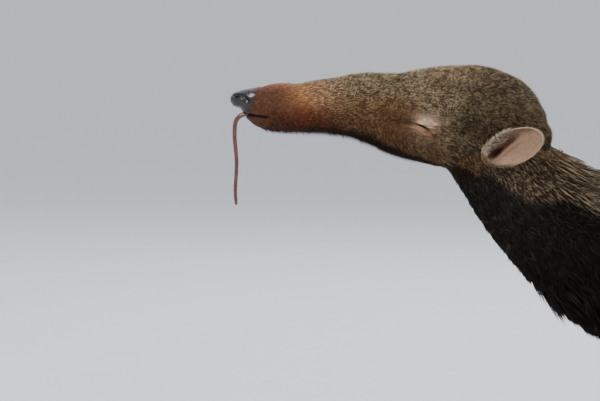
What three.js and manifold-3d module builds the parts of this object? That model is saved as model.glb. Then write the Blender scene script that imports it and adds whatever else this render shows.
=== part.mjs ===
// A young giant anteater, standing square on its four feet with its head raised and level, its eyes
// closed and its tongue out. Millimetres, +Z up, the snout along -X and the left side at -Y.
import * as THREE from "three";
import { mergeVertices } from "three/addons/utils/BufferGeometryUtils.js";
import Module from "manifold-3d";

const wasm = await Module();
wasm.setup();

// Driving dimensions. Lengths are taken to the outside of the short coat.
const headLength = 258; // nose to the back of the skull
const noseHeight = 378; // nose tip above the floor
const noseReach = 525; // nose tip ahead of the middle of the trunk
const trunkLength = 490; // breast to the root of the tail
const trunkMiddle = 240; // height of the trunk's middle line
const trunkDepth = 190;
const trunkWidth = 170;
const legSpread = 66; // a foot's middle from the middle plane
const tailLength = 430; // flesh only, from the rump
const seam = 0.3; // the gap between two pieces that touch
const rootDepth = 6; // how far a lock of hair is sunk in the piece it grows from

// Points of a form. Each station gives the middle point, the half width, and how far the form
// rises above and falls below its middle line. On a leg, rise is the rear side and fall the front.
const station = (x, y, z, wide, rise, fall) => ({ middle: new THREE.Vector3(x, y, z), wide, rise, fall });

// The head, from the front of the snout back into the neck: share of the length, height of the
// middle line against the nose tip, half height and half width.
const headStations = [
  [0.056, -5, 10, 10],
  [0.084, -7, 15.5, 14],
  [0.115, -8, 18.6, 16],
  [0.16, -8.2, 19.8, 16.8],
  [0.214, -8.2, 19.8, 17.2],
  [0.276, -6.8, 21.6, 18.8],
  [0.338, -6.6, 24.2, 21.6],
  [0.4, -6.8, 27.6, 25],
  [0.462, -9.4, 30.6, 28.8],
  [0.524, -12.8, 34.4, 33],
  [0.6, -14.2, 39, 37],
  [0.69, -15.8, 43, 40.5],
  [0.775, -18.6, 44.4, 42],
  [0.85, -21.5, 38, 41],
  [0.89, -26, 28, 37],
  [0.92, -33, 20, 29],
].map(([share, high, half, wide]) =>
  station(share * headLength - noseReach, 0, noseHeight + high, wide, half, half));

const neckStations = [
  station(-330, 0, 352, 36, 37, 39),
  station(-306, 0, 325, 41, 38.5, 45),
  station(-268, 0, 285, 49, 47.5, 53),
  station(-218, 0, 258, 60, 64, 70),
  station(-160, 0, 248, 64, 74, 76),
];

// The trunk, breast to rump: place along it, then shares of its half width and half depth.
const trunkStations = [
  [-0.48, 0, 0.5, 0.6, 0.56],
  [-0.38, -2, 0.8, 0.88, 0.84],
  [-0.22, -2, 0.93, 0.97, 1.02],
  [-0.02, 2, 0.97, 1, 1.05],
  [0.18, 6, 1, 1.03, 0.98],
  [0.34, 8, 0.94, 0.98, 0.86],
  [0.46, 8, 0.72, 0.77, 0.68],
  [0.54, 4, 0.46, 0.52, 0.46],
].map(([share, high, wide, rise, fall]) =>
  station(share * trunkLength, 0, trunkMiddle + high,
    wide * trunkWidth / 2, rise * trunkDepth / 2, fall * trunkDepth / 2));

// The tail, root to tip: share of its length, height, half width, rise and fall. These are the sizes
// of the dense underhair, which reaches less than half way to the tips of the long hair.
const rump = 0.47 * trunkLength;
const tailStations = [
  [0, 244, 38, 47, 47],
  [0.2, 219, 29, 43, 62],
  [0.4, 191, 25, 44, 70],
  [0.6, 167, 21, 40, 64],
  [0.8, 149, 16, 31, 50],
  [1, 138, 8, 15, 24],
].map(([share, high, wide, rise, fall]) => station(rump + share * tailLength, 0, high, wide, rise, fall));

// Legs are written for the side at +Y and mirrored. Step moves the foot forward of the hip.
const steps = { fore_left: -14, fore_right: 10, hind_left: 10, hind_right: -14 };
const hipHeight = 250;

const foreStations = [
  [-172, 40, 262, 32, 54, 48],
  [-180, 54, 220, 38, 52, 47],
  [-166, legSpread - 2, 168, 37, 45, 42],
  [-168, legSpread + 2, 114, 35, 42, 38],
  [-172, legSpread, 66, 30, 33, 30],
  [-176, legSpread, 34, 25, 26, 25],
];
const forefootStations = [
  [-226, legSpread, 15, 12, 12, 13],
  [-214, legSpread, 18, 23, 20, 22],
  [-192, legSpread, 24, 28, 26, 28],
  [-168, legSpread, 24, 26, 27, 28],
  [-148, legSpread, 20, 16, 17, 22],
];
const hindStations = [
  [152, 32, 266, 40, 66, 64],
  [148, 48, 228, 44, 70, 66],
  [130, legSpread - 4, 176, 40, 58, 52],
  [148, legSpread, 118, 33, 42, 38],
  [172, legSpread - 3, 66, 26, 30, 28],
  [178, legSpread - 4, 34, 23, 24, 25],
];
const hindfootStations = [
  [94, legSpread, 9, 18, 8, 11],
  [110, legSpread, 13, 26, 13, 16],
  [138, legSpread - 2, 18, 26, 20, 21],
  [168, legSpread - 4, 22, 23, 26, 25],
  [198, legSpread - 4, 19, 15, 16, 22],
];

// A smooth curve through rows of numbers, three at a time.
function through(rows) {
  const curve = new THREE.CatmullRomCurve3(rows, false, "catmullrom", 0.5);
  return (share) => curve.getPoint(THREE.MathUtils.clamp(share, 0, 1));
}

// A form: its middle line and its sizes as functions of the share of the way along. Its width is
// measured towards the direction given.
function form(stations, sideways = new THREE.Vector3(0, 1, 0)) {
  const middle = through(stations.map((s) => s.middle));
  const size = through(stations.map((s) => new THREE.Vector3(s.wide, s.rise, s.fall)));
  const frame = (share) => {
    const step = 0.002;
    const along = middle(share + step).sub(middle(share - step)).normalize();
    const side = sideways.clone().addScaledVector(along, -sideways.dot(along)).normalize();
    return { along, side, up: along.clone().cross(side) };
  };
  const point = (share, angle, grow = 0) => {
    const { side, up } = frame(share);
    const s = size(share);
    const c = Math.cos(angle);
    const n = Math.sin(angle);
    return middle(share)
      .addScaledVector(side, (s.x + grow) * c)
      .addScaledVector(up, ((n > 0 ? s.y : s.z) + grow) * n);
  };
  return { middle, size, frame, point };
}

// The closed surface of a form, with a rounded cap at each end that bulges by the share given.
function skinOf(shape, { rings, sides, grow = 0, front = 0.5, back = 0.5, capRings = 2 }) {
  const points = [];
  const loops = [];
  const ring = (share, shrink, shift) => {
    const start = points.length;
    const { along } = shape.frame(share);
    const middle = shape.middle(share);
    for (let k = 0; k < sides; k += 1) {
      const p = shape.point(share, (k / sides) * 2 * Math.PI, grow);
      points.push(middle.clone().lerp(p, shrink).addScaledVector(along, shift));
    }
    loops.push(start);
  };
  const bulge = (share, amount) => amount * (shape.size(share).x + grow);
  for (let k = 1; k <= capRings; k += 1) {
    const turn = (k / (capRings + 1)) * (Math.PI / 2);
    ring(0, Math.sin(turn), -bulge(0, front) * Math.cos(turn));
  }
  for (let k = 0; k <= rings; k += 1) ring(k / rings, 1, 0);
  for (let k = capRings; k >= 1; k -= 1) {
    const turn = (k / (capRings + 1)) * (Math.PI / 2);
    ring(1, Math.sin(turn), bulge(1, back) * Math.cos(turn));
  }
  const pole = (share, shift) =>
    points.push(shape.middle(share).addScaledVector(shape.frame(share).along, shift)) - 1;
  const first = pole(0, -bulge(0, front));
  const last = pole(1, bulge(1, back));
  const faces = [];
  const end = loops[loops.length - 1];
  for (let k = 0; k < sides; k += 1) {
    const next = (k + 1) % sides;
    faces.push(first, loops[0] + next, loops[0] + k, last, end + k, end + next);
    for (let r = 0; r + 1 < loops.length; r += 1) {
      const [a, b] = [loops[r] + k, loops[r] + next];
      const [c, d] = [loops[r + 1] + k, loops[r + 1] + next];
      faces.push(a, b, d, a, d, c);
    }
  }
  return solid(new THREE.BufferGeometry().setFromPoints(points).setIndex(faces));
}

// A closed geometry as a solid that can be joined and cut.
function solid(geometry) {
  const bare = geometry.clone();
  bare.deleteAttribute("normal");
  bare.deleteAttribute("uv");
  const merged = mergeVertices(bare, 1e-4);
  return new wasm.Manifold(new wasm.Mesh({
    numProp: 3,
    vertProperties: Float32Array.from(merged.attributes.position.array),
    triVerts: Uint32Array.from(merged.index.array),
  }));
}

const placed = (geometry, place, turn = [0, 0, 0]) => {
  const matrix = new THREE.Matrix4().makeRotationFromEuler(new THREE.Euler(...turn)).setPosition(place);
  return solid(geometry.clone().applyMatrix4(matrix));
};

const join = (solids) => solids.reduce((a, b) => a.add(b));

const largest = (made) => made.decompose().reduce((a, b) => (a.volume() > b.volume() ? a : b));

// An ellipsoid of three half sizes, coarse enough for a small feature.
function ellipsoid(halves, place, turn = [0, 0, 0], sides = 14) {
  return placed(new THREE.SphereGeometry(1, sides, Math.round(sides * 0.6)).scale(...halves), place, turn);
}

// The part of a solid on the side of a point that a direction points to, half a seam clear of it.
function beyond(made, point, direction, gap = seam / 2) {
  const d = direction.clone().normalize();
  return made.trimByPlane([d.x, d.y, d.z], d.dot(point) + gap);
}

const aboveFloor = (made) => made.trimByPlane([0, 0, 1], 0);

const colours = {
  coat: 0x5a4a38,
  neckCoat: 0x46392b,
  trunkCoat: 0x3a3027,
  tailCoat: 0x3b3228,
  paleLeg: 0xa8957c,
  darkLeg: 0x2f261e,
  ear: 0x9a7d66,
  nose: 0x1d1f22,
  tongue: 0x4b2a22,
  eye: 0x15100c,
  claw: 0x8a5a38,
};

const group = new THREE.Group();

function addNode(name, made, colour, roughness = 0.85) {
  const mesh = made.getMesh();
  const geometry = new THREE.BufferGeometry();
  geometry.setAttribute("position", new THREE.BufferAttribute(Float32Array.from(mesh.vertProperties), 3));
  geometry.setIndex(new THREE.BufferAttribute(Uint32Array.from(mesh.triVerts), 1));
  geometry.computeVertexNormals();
  const material = new THREE.MeshStandardMaterial({ color: colours[colour], roughness, metalness: 0 });
  const node = new THREE.Mesh(geometry, material);
  node.name = name;
  group.add(node);
}

const headForm = form(headStations);
const neckForm = form(neckStations);
const trunkForm = form(trunkStations);
const tailForm = form(tailStations);

const atNose = (back, side, up) => new THREE.Vector3(back - noseReach, side, noseHeight + up);

// A repeatable draw between two values.
function draws(seed) {
  let state = seed;
  return (low, high) => {
    state = (state * 1664525 + 1013904223) % 4294967296;
    return low + ((high - low) * state) / 4294967296;
  };
}

// A place on the surface of a form, the direction straight out of it and the way the form runs.
function onSurface(shape, share, degrees) {
  const angle = THREE.MathUtils.degToRad(degrees);
  const point = shape.point(share, angle);
  const along = shape.point(share + 0.01, angle).sub(shape.point(share - 0.01, angle)).normalize();
  const round = shape.point(share, angle + 0.02).sub(shape.point(share, angle - 0.02)).normalize();
  return { point, along, out: round.cross(along).normalize() };
}

// A lock of long hair: flat, tapered and bent. Its root is sunk in the surface, it lies the way given,
// lifts off the surface and hangs down towards its tip.
function lock(root, towards, { length, width, thick, lift, droop }, grow = 0) {
  const lie = towards.clone().addScaledVector(root.out, -towards.dot(root.out)).normalize();
  const side = lie.clone().cross(root.out).normalize();
  const rows = [[-0.06, -rootDepth, 0, 0.6, 0.8], [0.36, 0.7 * lift, 0.2, 1, 1], [0.72, lift, 0.6, 0.74, 0.7]];
  const stations = rows.map(([way, out, drop, wide, deep]) => {
    const p = root.point.clone().addScaledVector(lie, way * length).addScaledVector(root.out, out);
    return station(p.x, p.y, p.z - drop * droop, (wide * width) / 2, (deep * thick) / 2, (deep * thick) / 2);
  });
  const tip = (0.3 * length) / (0.37 * width);
  return skinOf(form(stations, side), { rings: 2, sides: 4, grow, capRings: 0, front: 0, back: tip });
}

// Head, neck, trunk and tail are modelled whole and parted by thin cuts across the middle line.
function wholeBody(grow = 0) {
  return join([
    skinOf(headForm, { rings: 17, sides: 18, grow, front: 0.35, back: 0.5 }),
    skinOf(neckForm, { rings: 5, sides: 16, grow }),
    skinOf(trunkForm, { rings: 11, sides: 16, grow }),
    skinOf(tailForm, { rings: 8, sides: 12, grow, capRings: 1 }),
  ]);
}

const whole = wholeBody();
const wholeRoom = wholeBody(seam);

const cuts = {
  head: { at: new THREE.Vector3(-292, 0, 346), towards: new THREE.Vector3(-0.82, 0, 0.58) },
  neck: { at: new THREE.Vector3(-214, 0, 264), towards: new THREE.Vector3(-0.86, 0, 0.5) },
  tail: { at: new THREE.Vector3(rump + 16, 0, 236), towards: new THREE.Vector3(-1, 0, 0.2) },
};
const before = (made, cut, gap) => beyond(made, cut.at, cut.towards, gap);
const after = (made, cut, gap) => beyond(made, cut.at, cut.towards.clone().negate(), gap);

// Eyes: a ball deep in the head behind a closed slit between two lids.
const eyeSpot = { back: 151, up: -22, side: 29 };
const ballRadius = 7;
const slitLength = 14;
const slitTilt = 0.46; // the slit falls towards the ear

function eyeBall(side, grow = 0) {
  const r = ballRadius + grow;
  return ellipsoid([r, r, r], atNose(eyeSpot.back, side * (eyeSpot.side - 1.5), eyeSpot.up), [0, 0, 0], 9);
}

function eyeLids(side) {
  const lid = (rise, thick) => {
    const arc = [-1, -0.5, 0, 0.5, 1].map((s) => {
      const bow = 1 - s * s;
      return station(
        eyeSpot.back - noseReach + s * slitLength * 0.78, side * (eyeSpot.side + 4.2 + 2 * bow),
        noseHeight + eyeSpot.up - s * slitLength * slitTilt * 0.6 + rise * (0.2 + bow), 2.8, thick, thick);
    });
    return skinOf(form(arc), { rings: 4, sides: 6, capRings: 1 });
  };
  return join([lid(4.2, 3.4), lid(-3.2, 2.6)]);
}

function eyeSlit(side) {
  const slit = [-1, 0, 1].map((s) => station(
    eyeSpot.back - noseReach + s * slitLength * 0.5, side * (eyeSpot.side + 7),
    noseHeight + eyeSpot.up - s * slitLength * slitTilt * 0.5, 8, 0.2 + 0.7 * (1 - s * s), 0.2 + 0.7 * (1 - s * s)));
  return skinOf(form(slit), { rings: 4, sides: 6, capRings: 1, front: 0.05, back: 0.05 });
}

// The mouth is a short slit across the front of the snout, open a little for the tongue.
const mouth = { tip: 8, corner: 31, height: -12.8, fall: 3, gape: 4.2 };
function mouthCut() {
  const outline = new THREE.Shape([
    new THREE.Vector2(mouth.tip, mouth.height + mouth.gape / 2),
    new THREE.Vector2(mouth.tip, mouth.height - mouth.gape / 2),
    new THREE.Vector2(mouth.corner, mouth.height - mouth.fall - 0.4),
    new THREE.Vector2(mouth.corner, mouth.height - mouth.fall + 0.4),
  ]);
  const across = 60;
  const slab = new THREE.ExtrudeGeometry(outline, { depth: across, bevelEnabled: false });
  slab.rotateX(Math.PI / 2);
  return placed(slab, atNose(0, across / 2, 0));
}

// Lips: low ridges along both edges of the mouth.
function lips(side) {
  const ridge = (offset) => form([0.0, 0.35, 0.7, 1].map((s) => {
    const back = THREE.MathUtils.lerp(15, mouth.corner, s);
    const wide = headForm.size(THREE.MathUtils.lerp(0.01, 0.14, s)).x;
    const level = noseHeight + mouth.height - mouth.fall * s + offset * (1.3 - s);
    return station(back - noseReach, side * wide * 0.9, level, 2.2, 1.7, 1.7);
  }));
  return join([4.4, -4.4].map((offset) => skinOf(ridge(offset), { rings: 4, sides: 5, capRings: 0, front: 0.8, back: 1 })));
}

// The bare black nose, with a nostril on each side.
const noseStations = [
  station(-noseReach + 3, 0, noseHeight - 1.5, 6.5, 5.5, 6),
  station(-noseReach + 9, 0, noseHeight - 1, 9.6, 7.2, 8),
  station(-noseReach + 17, 0, noseHeight - 0.8, 11.5, 8.6, 9),
  station(-noseReach + 24, 0, noseHeight - 0.8, 11, 9.8, 9),
];
function nosePad(grow = 0) {
  return skinOf(form(noseStations), { rings: 3, sides: 12, grow, front: 0.5, back: 0.1 });
}
function nostril(side) {
  const path = [[3.5, 5.6, 1.5], [6.5, 8.6, 2.5], [10.5, 10.6, 1.2], [13, 11.4, -2.2]];
  return skinOf(
    form(path.map(([back, out, up]) =>
      station(back - noseReach, side * out, noseHeight + up, 2.3, 1.7, 1.7))),
    { rings: 4, sides: 6, capRings: 1 });
}

// The tongue leaves the mouth forward and hangs straight down.
const tonguePath = [[28, -15], [20, -14.2], [11, -13.4], [4.5, -18], [3, -30], [4.5, -52], [3.5, -74], [4, -84]];
function tongue(grow = 0) {
  const shape = form(tonguePath.map(([back, up], k) => {
    const thick = 2.3 - 0.14 * k;
    return station(back - noseReach, 0, noseHeight + up, thick * 1.25, thick, thick);
  }));
  return skinOf(shape, { rings: 11, sides: 5, grow, capRings: 1, front: 1 });
}

// Each ear is an oval cup that lies back along the head.
const ear = {
  back: 220.5, side: 45, up: -36, length: 26, height: 13.6, depth: 14, wall: 2.2, floor: 2.2, rim: 7, lean: -0.46,
  flare: 0.3,
};
function earCup(side, grow = 0) {
  const turn = [side * 0.25, ear.lean, side * ear.flare];
  const centre = atNose(ear.back, side * ear.side, ear.up);
  const outer = ellipsoid([ear.length + grow, ear.depth + grow, ear.height + grow], centre, turn, 12);
  if (grow > 0) return outer;
  const outward = new THREE.Vector3(0, side, 0).applyEuler(new THREE.Euler(...turn));
  const inner = ellipsoid([ear.length - ear.wall, ear.floor + ear.rim, ear.height - ear.wall],
    centre.clone().addScaledVector(outward, ear.rim), turn, 12);
  const cup = outer.subtract(inner);
  return beyond(cup, centre.clone().addScaledVector(outward, ear.rim), outward.negate());
}

function buildHead() {
  const details = [-1, 1].flatMap((side) => [eyeLids(side), lips(side)]);
  const head = before(join([whole, ...details]), cuts.head);
  const hollows = [-1, 1].flatMap((side) => [eyeBall(side, seam), eyeSlit(side)]);
  return largest(head.subtract(join([...hollows, mouthCut(), nosePad(seam), tongue(seam + 0.4)])));
}

const head = buildHead();
addNode("head", head, "coat");
addNode("nose", largest(nosePad().subtract(join([nostril(-1), nostril(1), mouthCut(), tongue(seam)]))), "nose", 0.25);
addNode("tongue", tongue(), "tongue", 0.35);
for (const [name, side] of [["left", -1], ["right", 1]]) {
  addNode("eye_" + name, eyeBall(side), "eye", 0.1);
  addNode("ear_" + name, largest(earCup(side).subtract(wholeRoom)), "ear");
}

// A leg's stations, mirrored to its side, with the foot moved forward or back by the step.
function legForm(rows, side, step) {
  return form(rows.map(([x, y, z, ...sizes]) =>
    station(x + step * (1 - Math.min(z / hipHeight, 1)), side * y, z, ...sizes)));
}

// A leg with its foot: the forms, the solids and the room they need.
function buildLeg(name, side, legRows, footRows, joints) {
  const leg = legForm(legRows, side, steps[name]);
  const foot = legForm(footRows, side, steps[name]);
  const ends = { rings: 6, sides: 10, front: 0.6, back: 0.6 };
  const upright = new THREE.Vector3(0, 0, 1);
  return {
    leg,
    foot,
    skin: skinOf(leg, { rings: 7, sides: 12 }).subtract(wholeRoom),
    room: skinOf(leg, { rings: 7, sides: 12, grow: seam }),
    footSkin: aboveFloor(skinOf(foot, ends)),
    footRoom: skinOf(foot, { ...ends, grow: seam }),
    bend: { at: leg.middle(joints[0]), towards: upright },
    ankle: { at: leg.middle(joints[1]), towards: upright },
  };
}

const sides = { left: -1, right: 1 };
const legs = Object.fromEntries(Object.entries(sides).flatMap(([name, side]) => [
  ["fore_" + name, buildLeg("fore_" + name, side, foreStations, forefootStations, [0.44, 0.84])],
  ["hind_" + name, buildLeg("hind_" + name, side, hindStations, hindfootStations, [0.42, 0.82])],
]));

// Sizes of the locks of long hair.
const hairSizes = {
  nape: { length: 50, width: 28, thick: 5, lift: 7, droop: 0 },
  neck: { length: 46, width: 30, thick: 5, lift: 6, droop: 6 },
  crest: { length: 76, width: 28, thick: 5.5, lift: 11, droop: 0 },
  flank: { length: 80, width: 38, thick: 5, lift: 8, droop: 8 },
  rump: { length: 66, width: 38, thick: 5, lift: 9, droop: 12 },
  arm: { length: 52, width: 30, thick: 5, lift: 6, droop: 2 },
  wrist: { length: 40, width: 24, thick: 4.5, lift: 6, droop: 2 },
  thigh: { length: 60, width: 34, thick: 5, lift: 8, droop: 4 },
  shank: { length: 44, width: 26, thick: 5, lift: 7, droop: 2 },
  tailTop: { length: 80, width: 36, thick: 5.5, lift: 26, droop: 4 },
  tailSide: { length: 92, width: 40, thick: 5.5, lift: 12, droop: 14 },
  tailLow: { length: 98, width: 40, thick: 5.5, lift: 16, droop: 20 },
  tailTip: { length: 100, width: 32, thick: 5.5, lift: 4, droop: 16 },
};

const draw = draws(7);

// A row of locks along a form at one angle round it: where it starts and ends, how many, and the way
// the hair lies. The side mirrors the row.
function hairRow(shape, from, to, count, degrees, towards, size, side = 1) {
  const row = [];
  for (let k = 0; k < count; k += 1) {
    const share = THREE.MathUtils.lerp(from, to, count > 1 ? k / (count - 1) : 0.5) + draw(-0.008, 0.008);
    const angle = (side > 0 ? degrees : 180 - degrees) + draw(-4, 4);
    const way = new THREE.Vector3(towards[0] + draw(-0.1, 0.1), side * towards[1], towards[2] + draw(-0.1, 0.1));
    const vary = draw(0.9, 1.12);
    const sizes = { ...size, length: size.length * vary, lift: size.lift * draw(0.8, 1.2) };
    const root = onSurface(shape, share, angle);
    row.push({ made: lock(root, way, sizes), room: lock(root, way, sizes, seam) });
  }
  return row;
}

// Hair is joined to its node clear of the nodes beside it and of the hair laid before it.
const hairLaid = [];
function addHaired(name, core, rows, beside, colour) {
  const locks = rows.flat();
  const blocked = join([...beside, ...hairLaid.filter((laid) => touches(laid, locks))]);
  const hair = join(locks.map((l) => l.made)).subtract(blocked);
  hairLaid.push(join(locks.map((l) => l.room)));
  addNode(name, largest(core.add(hair)), colour);
}

// Whether a solid's box meets that of any lock.
function touches(solid, locks) {
  const { min, max } = solid.boundingBox();
  return locks.some(({ made }) => {
    const box = made.boundingBox();
    return [0, 1, 2].every((k) => box.min[k] < max[k] && box.max[k] > min[k]);
  });
}

const bothSides = (row) => [...row(-1), ...row(1)];

const neckHair = [
  hairRow(neckForm, 0.36, 0.74, 3, 106, [0.8, 0, -0.6], hairSizes.nape),
  hairRow(neckForm, 0.46, 0.84, 3, 74, [0.8, 0, -0.6], hairSizes.nape),
  bothSides((side) => hairRow(neckForm, 0.44, 0.8, 3, 34, [0.7, 0.1, -0.8], hairSizes.neck, side)),
];
const headSide = before(wholeRoom, cuts.head, -seam / 2);
const ears = [-1, 1].map((side) => earCup(side, seam));
addHaired("neck", largest(before(after(whole, cuts.head), cuts.neck)), neckHair,
  [headSide, after(wholeRoom, cuts.neck, -seam / 2), ...ears, legs.fore_left.room, legs.fore_right.room], "neckCoat");

const torsoHair = [
  hairRow(trunkForm, 0.2, 0.84, 6, 90, [1, 0, 0.1], hairSizes.crest),
  bothSides((side) => hairRow(trunkForm, 0.19, 0.88, 6, 64, [1, 0.12, 0], hairSizes.crest, side)),
  bothSides((side) => hairRow(trunkForm, 0.3, 0.66, 4, 28, [1, 0, -0.5], hairSizes.flank, side)),
  bothSides((side) => hairRow(trunkForm, 0.26, 0.62, 4, -2, [1, 0, -0.7], hairSizes.flank, side)),
  bothSides((side) => hairRow(trunkForm, 0.32, 0.6, 3, -34, [1, 0, -0.8], hairSizes.flank, side)),
  bothSides((side) => hairRow(trunkForm, 0.84, 0.84, 1, 40, [1, 0, -0.7], hairSizes.rump, side)),
];
const legRooms = Object.values(legs).map((made) => made.room);
addHaired("torso", largest(before(after(whole, cuts.neck), cuts.tail)), torsoHair,
  [before(wholeRoom, cuts.neck, -seam / 2), after(wholeRoom, cuts.tail, -seam / 2), ...legRooms], "trunkCoat");

// A claw: a tapered horn with an oval section along the points given.
function claw(points, thick, sideways) {
  const stations = points.map((p, k) => {
    const share = k / (points.length - 1);
    const t = thick * (1 - 0.85 * share ** 2.2);
    return station(p.x, p.y, Math.max(p.z, t + 0.8), t, t * 0.8, t * 0.8);
  });
  return skinOf(form(stations, sideways), { rings: 4, sides: 6, capRings: 0, front: 0.4, back: 1.2 });
}

// The forefoot is a fist: its claws leave the front of the foot and fold round its inner side, one
// above the other. Level, where each starts and ends round the foot in degrees, and thickness.
const foreClaws = [
  [34, -6, 40, 3.2],
  [24.5, -14, 74, 5],
  [12.5, -14, 88, 5.6],
  [5.5, -62, -30, 2.8],
];
const fistHalf = { length: 43, width: 29 };
function foreClaw(centre, side, [level, from, to, thick]) {
  const points = [0, 0.25, 0.5, 0.75, 1].map((s) => {
    const turn = THREE.MathUtils.degToRad(THREE.MathUtils.lerp(from, to, s));
    const room = (fistHalf.width / 24) * Math.sqrt(Math.max(0, 24 ** 2 - (level - 22) ** 2)) - fistHalf.width;
    return new THREE.Vector3(
      centre.x - (fistHalf.length + room + 3 * s) * Math.cos(turn),
      centre.y - side * (fistHalf.width + room + 4 * s) * Math.sin(turn), level - 2 * s);
  });
  return claw(points, thick, new THREE.Vector3(0, 0, 1));
}

// Five short claws point forward and down from the toes of the hind foot.
const hindClaws = [[-20, 17, 3], [-10, 21, 3.4], [0, 22, 3.6], [10, 21, 3.4], [20, 17, 3]];
function hindClaw(foot, side, [offset, length, thick]) {
  const root = foot.middle(0).add(new THREE.Vector3(Math.abs(offset) * 0.5 - 3, side * offset, 0));
  const points = [0, 0.3, 0.65, 1].map((s) =>
    root.clone().add(new THREE.Vector3(-length * s, side * offset * 0.12 * s, -5 * s * s)));
  return claw(points, thick, new THREE.Vector3(0, 1, 0));
}

for (const [name, side] of Object.entries(sides)) {
  const fore = legs["fore_" + name];
  const armHair = [
    hairRow(fore.leg, 0.3, 0.3, 1, 88, [0.7, 0, -1], hairSizes.arm, side),
    hairRow(fore.leg, 0.2, 0.36, 2, 48, [0.6, 0.1, -1], hairSizes.arm, side),
    hairRow(fore.leg, 0.26, 0.26, 1, 6, [0.4, 0.1, -1], hairSizes.arm, side),
  ];
  const wristHair = [
    hairRow(fore.leg, 0.5, 0.69, 3, 84, [0.5, 0, -1], hairSizes.wrist, side),
    hairRow(fore.leg, 0.52, 0.66, 2, 40, [0.4, 0.1, -1], hairSizes.wrist, side),
    hairRow(fore.leg, 0.58, 0.58, 1, -4, [0.2, 0.1, -1], hairSizes.wrist, side),
  ];
  addHaired("upper_arm_" + name, largest(before(fore.skin, fore.bend)), armHair,
    [wholeRoom, after(fore.room, fore.bend, -seam / 2)], "paleLeg");
  addHaired("forearm_" + name, largest(before(after(fore.skin, fore.bend), fore.ankle)), wristHair,
    [before(fore.room, fore.bend, -seam / 2), after(fore.room, fore.ankle, -seam / 2), fore.footRoom], "paleLeg");
  addNode("forefoot_" + name, largest(after(join([fore.footSkin, aboveFloor(fore.skin)]), fore.ankle)), "darkLeg");
  foreClaws.forEach((sizes, k) => {
    const made = foreClaw(fore.foot.middle(0.5), side, sizes).subtract(fore.footRoom).subtract(fore.room);
    addNode(`fore_claw_${name}_${k + 1}`, largest(made), "claw", 0.4);
  });

  const hind = legs["hind_" + name];
  const thighHair = [
    hairRow(hind.leg, 0.14, 0.34, 3, 84, [0.8, 0, -1], hairSizes.thigh, side),
    hairRow(hind.leg, 0.12, 0.34, 3, 44, [0.8, 0, -1], hairSizes.thigh, side),
    hairRow(hind.leg, 0.14, 0.32, 2, 8, [0.6, 0, -1], hairSizes.thigh, side),
    hairRow(hind.leg, 0.3, 0.3, 1, -34, [0.5, 0, -1], hairSizes.thigh, side),
  ];
  const shankHair = [
    hairRow(hind.leg, 0.48, 0.64, 2, 84, [0.5, 0, -1], hairSizes.shank, side),
    hairRow(hind.leg, 0.5, 0.62, 2, 34, [0.5, 0, -1], hairSizes.shank, side),
  ];
  addHaired("thigh_" + name, largest(before(hind.skin, hind.bend)), thighHair,
    [wholeRoom, after(hind.room, hind.bend, -seam / 2)], "darkLeg");
  addHaired("shank_" + name, largest(before(after(hind.skin, hind.bend), hind.ankle)), shankHair,
    [before(hind.room, hind.bend, -seam / 2), after(hind.room, hind.ankle, -seam / 2), hind.footRoom], "darkLeg");
  addNode("hind_foot_" + name, largest(after(join([hind.footSkin, aboveFloor(hind.skin)]), hind.ankle)), "darkLeg");
  hindClaws.forEach((sizes, k) => {
    const made = hindClaw(hind.foot, side, sizes).subtract(hind.footRoom);
    addNode(`hind_claw_${name}_${k + 1}`, largest(made), "claw", 0.4);
  });
}

// The tail's plume: long hair on every side, longest below, with a tuft past the end.
const tailHair = [
  hairRow(tailForm, 0.06, 0.86, 6, 90, [1, 0, 0.1], hairSizes.tailTop),
  bothSides((side) => hairRow(tailForm, 0.14, 0.92, 5, 52, [1, 0.1, 0.1], hairSizes.tailTop, side)),
  bothSides((side) => hairRow(tailForm, 0.08, 0.88, 5, 8, [1, 0.1, -0.3], hairSizes.tailSide, side)),
  bothSides((side) => hairRow(tailForm, 0.14, 0.94, 6, -34, [1, 0, -0.7], hairSizes.tailLow, side)),
  bothSides((side) => hairRow(tailForm, 0.08, 0.88, 6, -70, [1, 0, -1], hairSizes.tailLow, side)),
  bothSides((side) => hairRow(tailForm, 0.98, 0.98, 1, 50, [1, 0.2, 0.1], hairSizes.tailTip, side)),
  bothSides((side) => hairRow(tailForm, 0.98, 0.98, 1, -30, [1, 0.2, -0.2], hairSizes.tailTip, side)),
];
addHaired("tail", largest(after(whole, cuts.tail)), tailHair,
  [before(wholeRoom, cuts.tail, -seam / 2), legs.hind_left.room, legs.hind_right.room], "tailCoat");

// The origin is on the floor under the middle of the whole.
const bounds = new THREE.Box3().setFromObject(group);
group.position.set(-(bounds.min.x + bounds.max.x) / 2, -(bounds.min.y + bounds.max.y) / 2, -bounds.min.z);

export default group;
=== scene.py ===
import math

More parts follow.
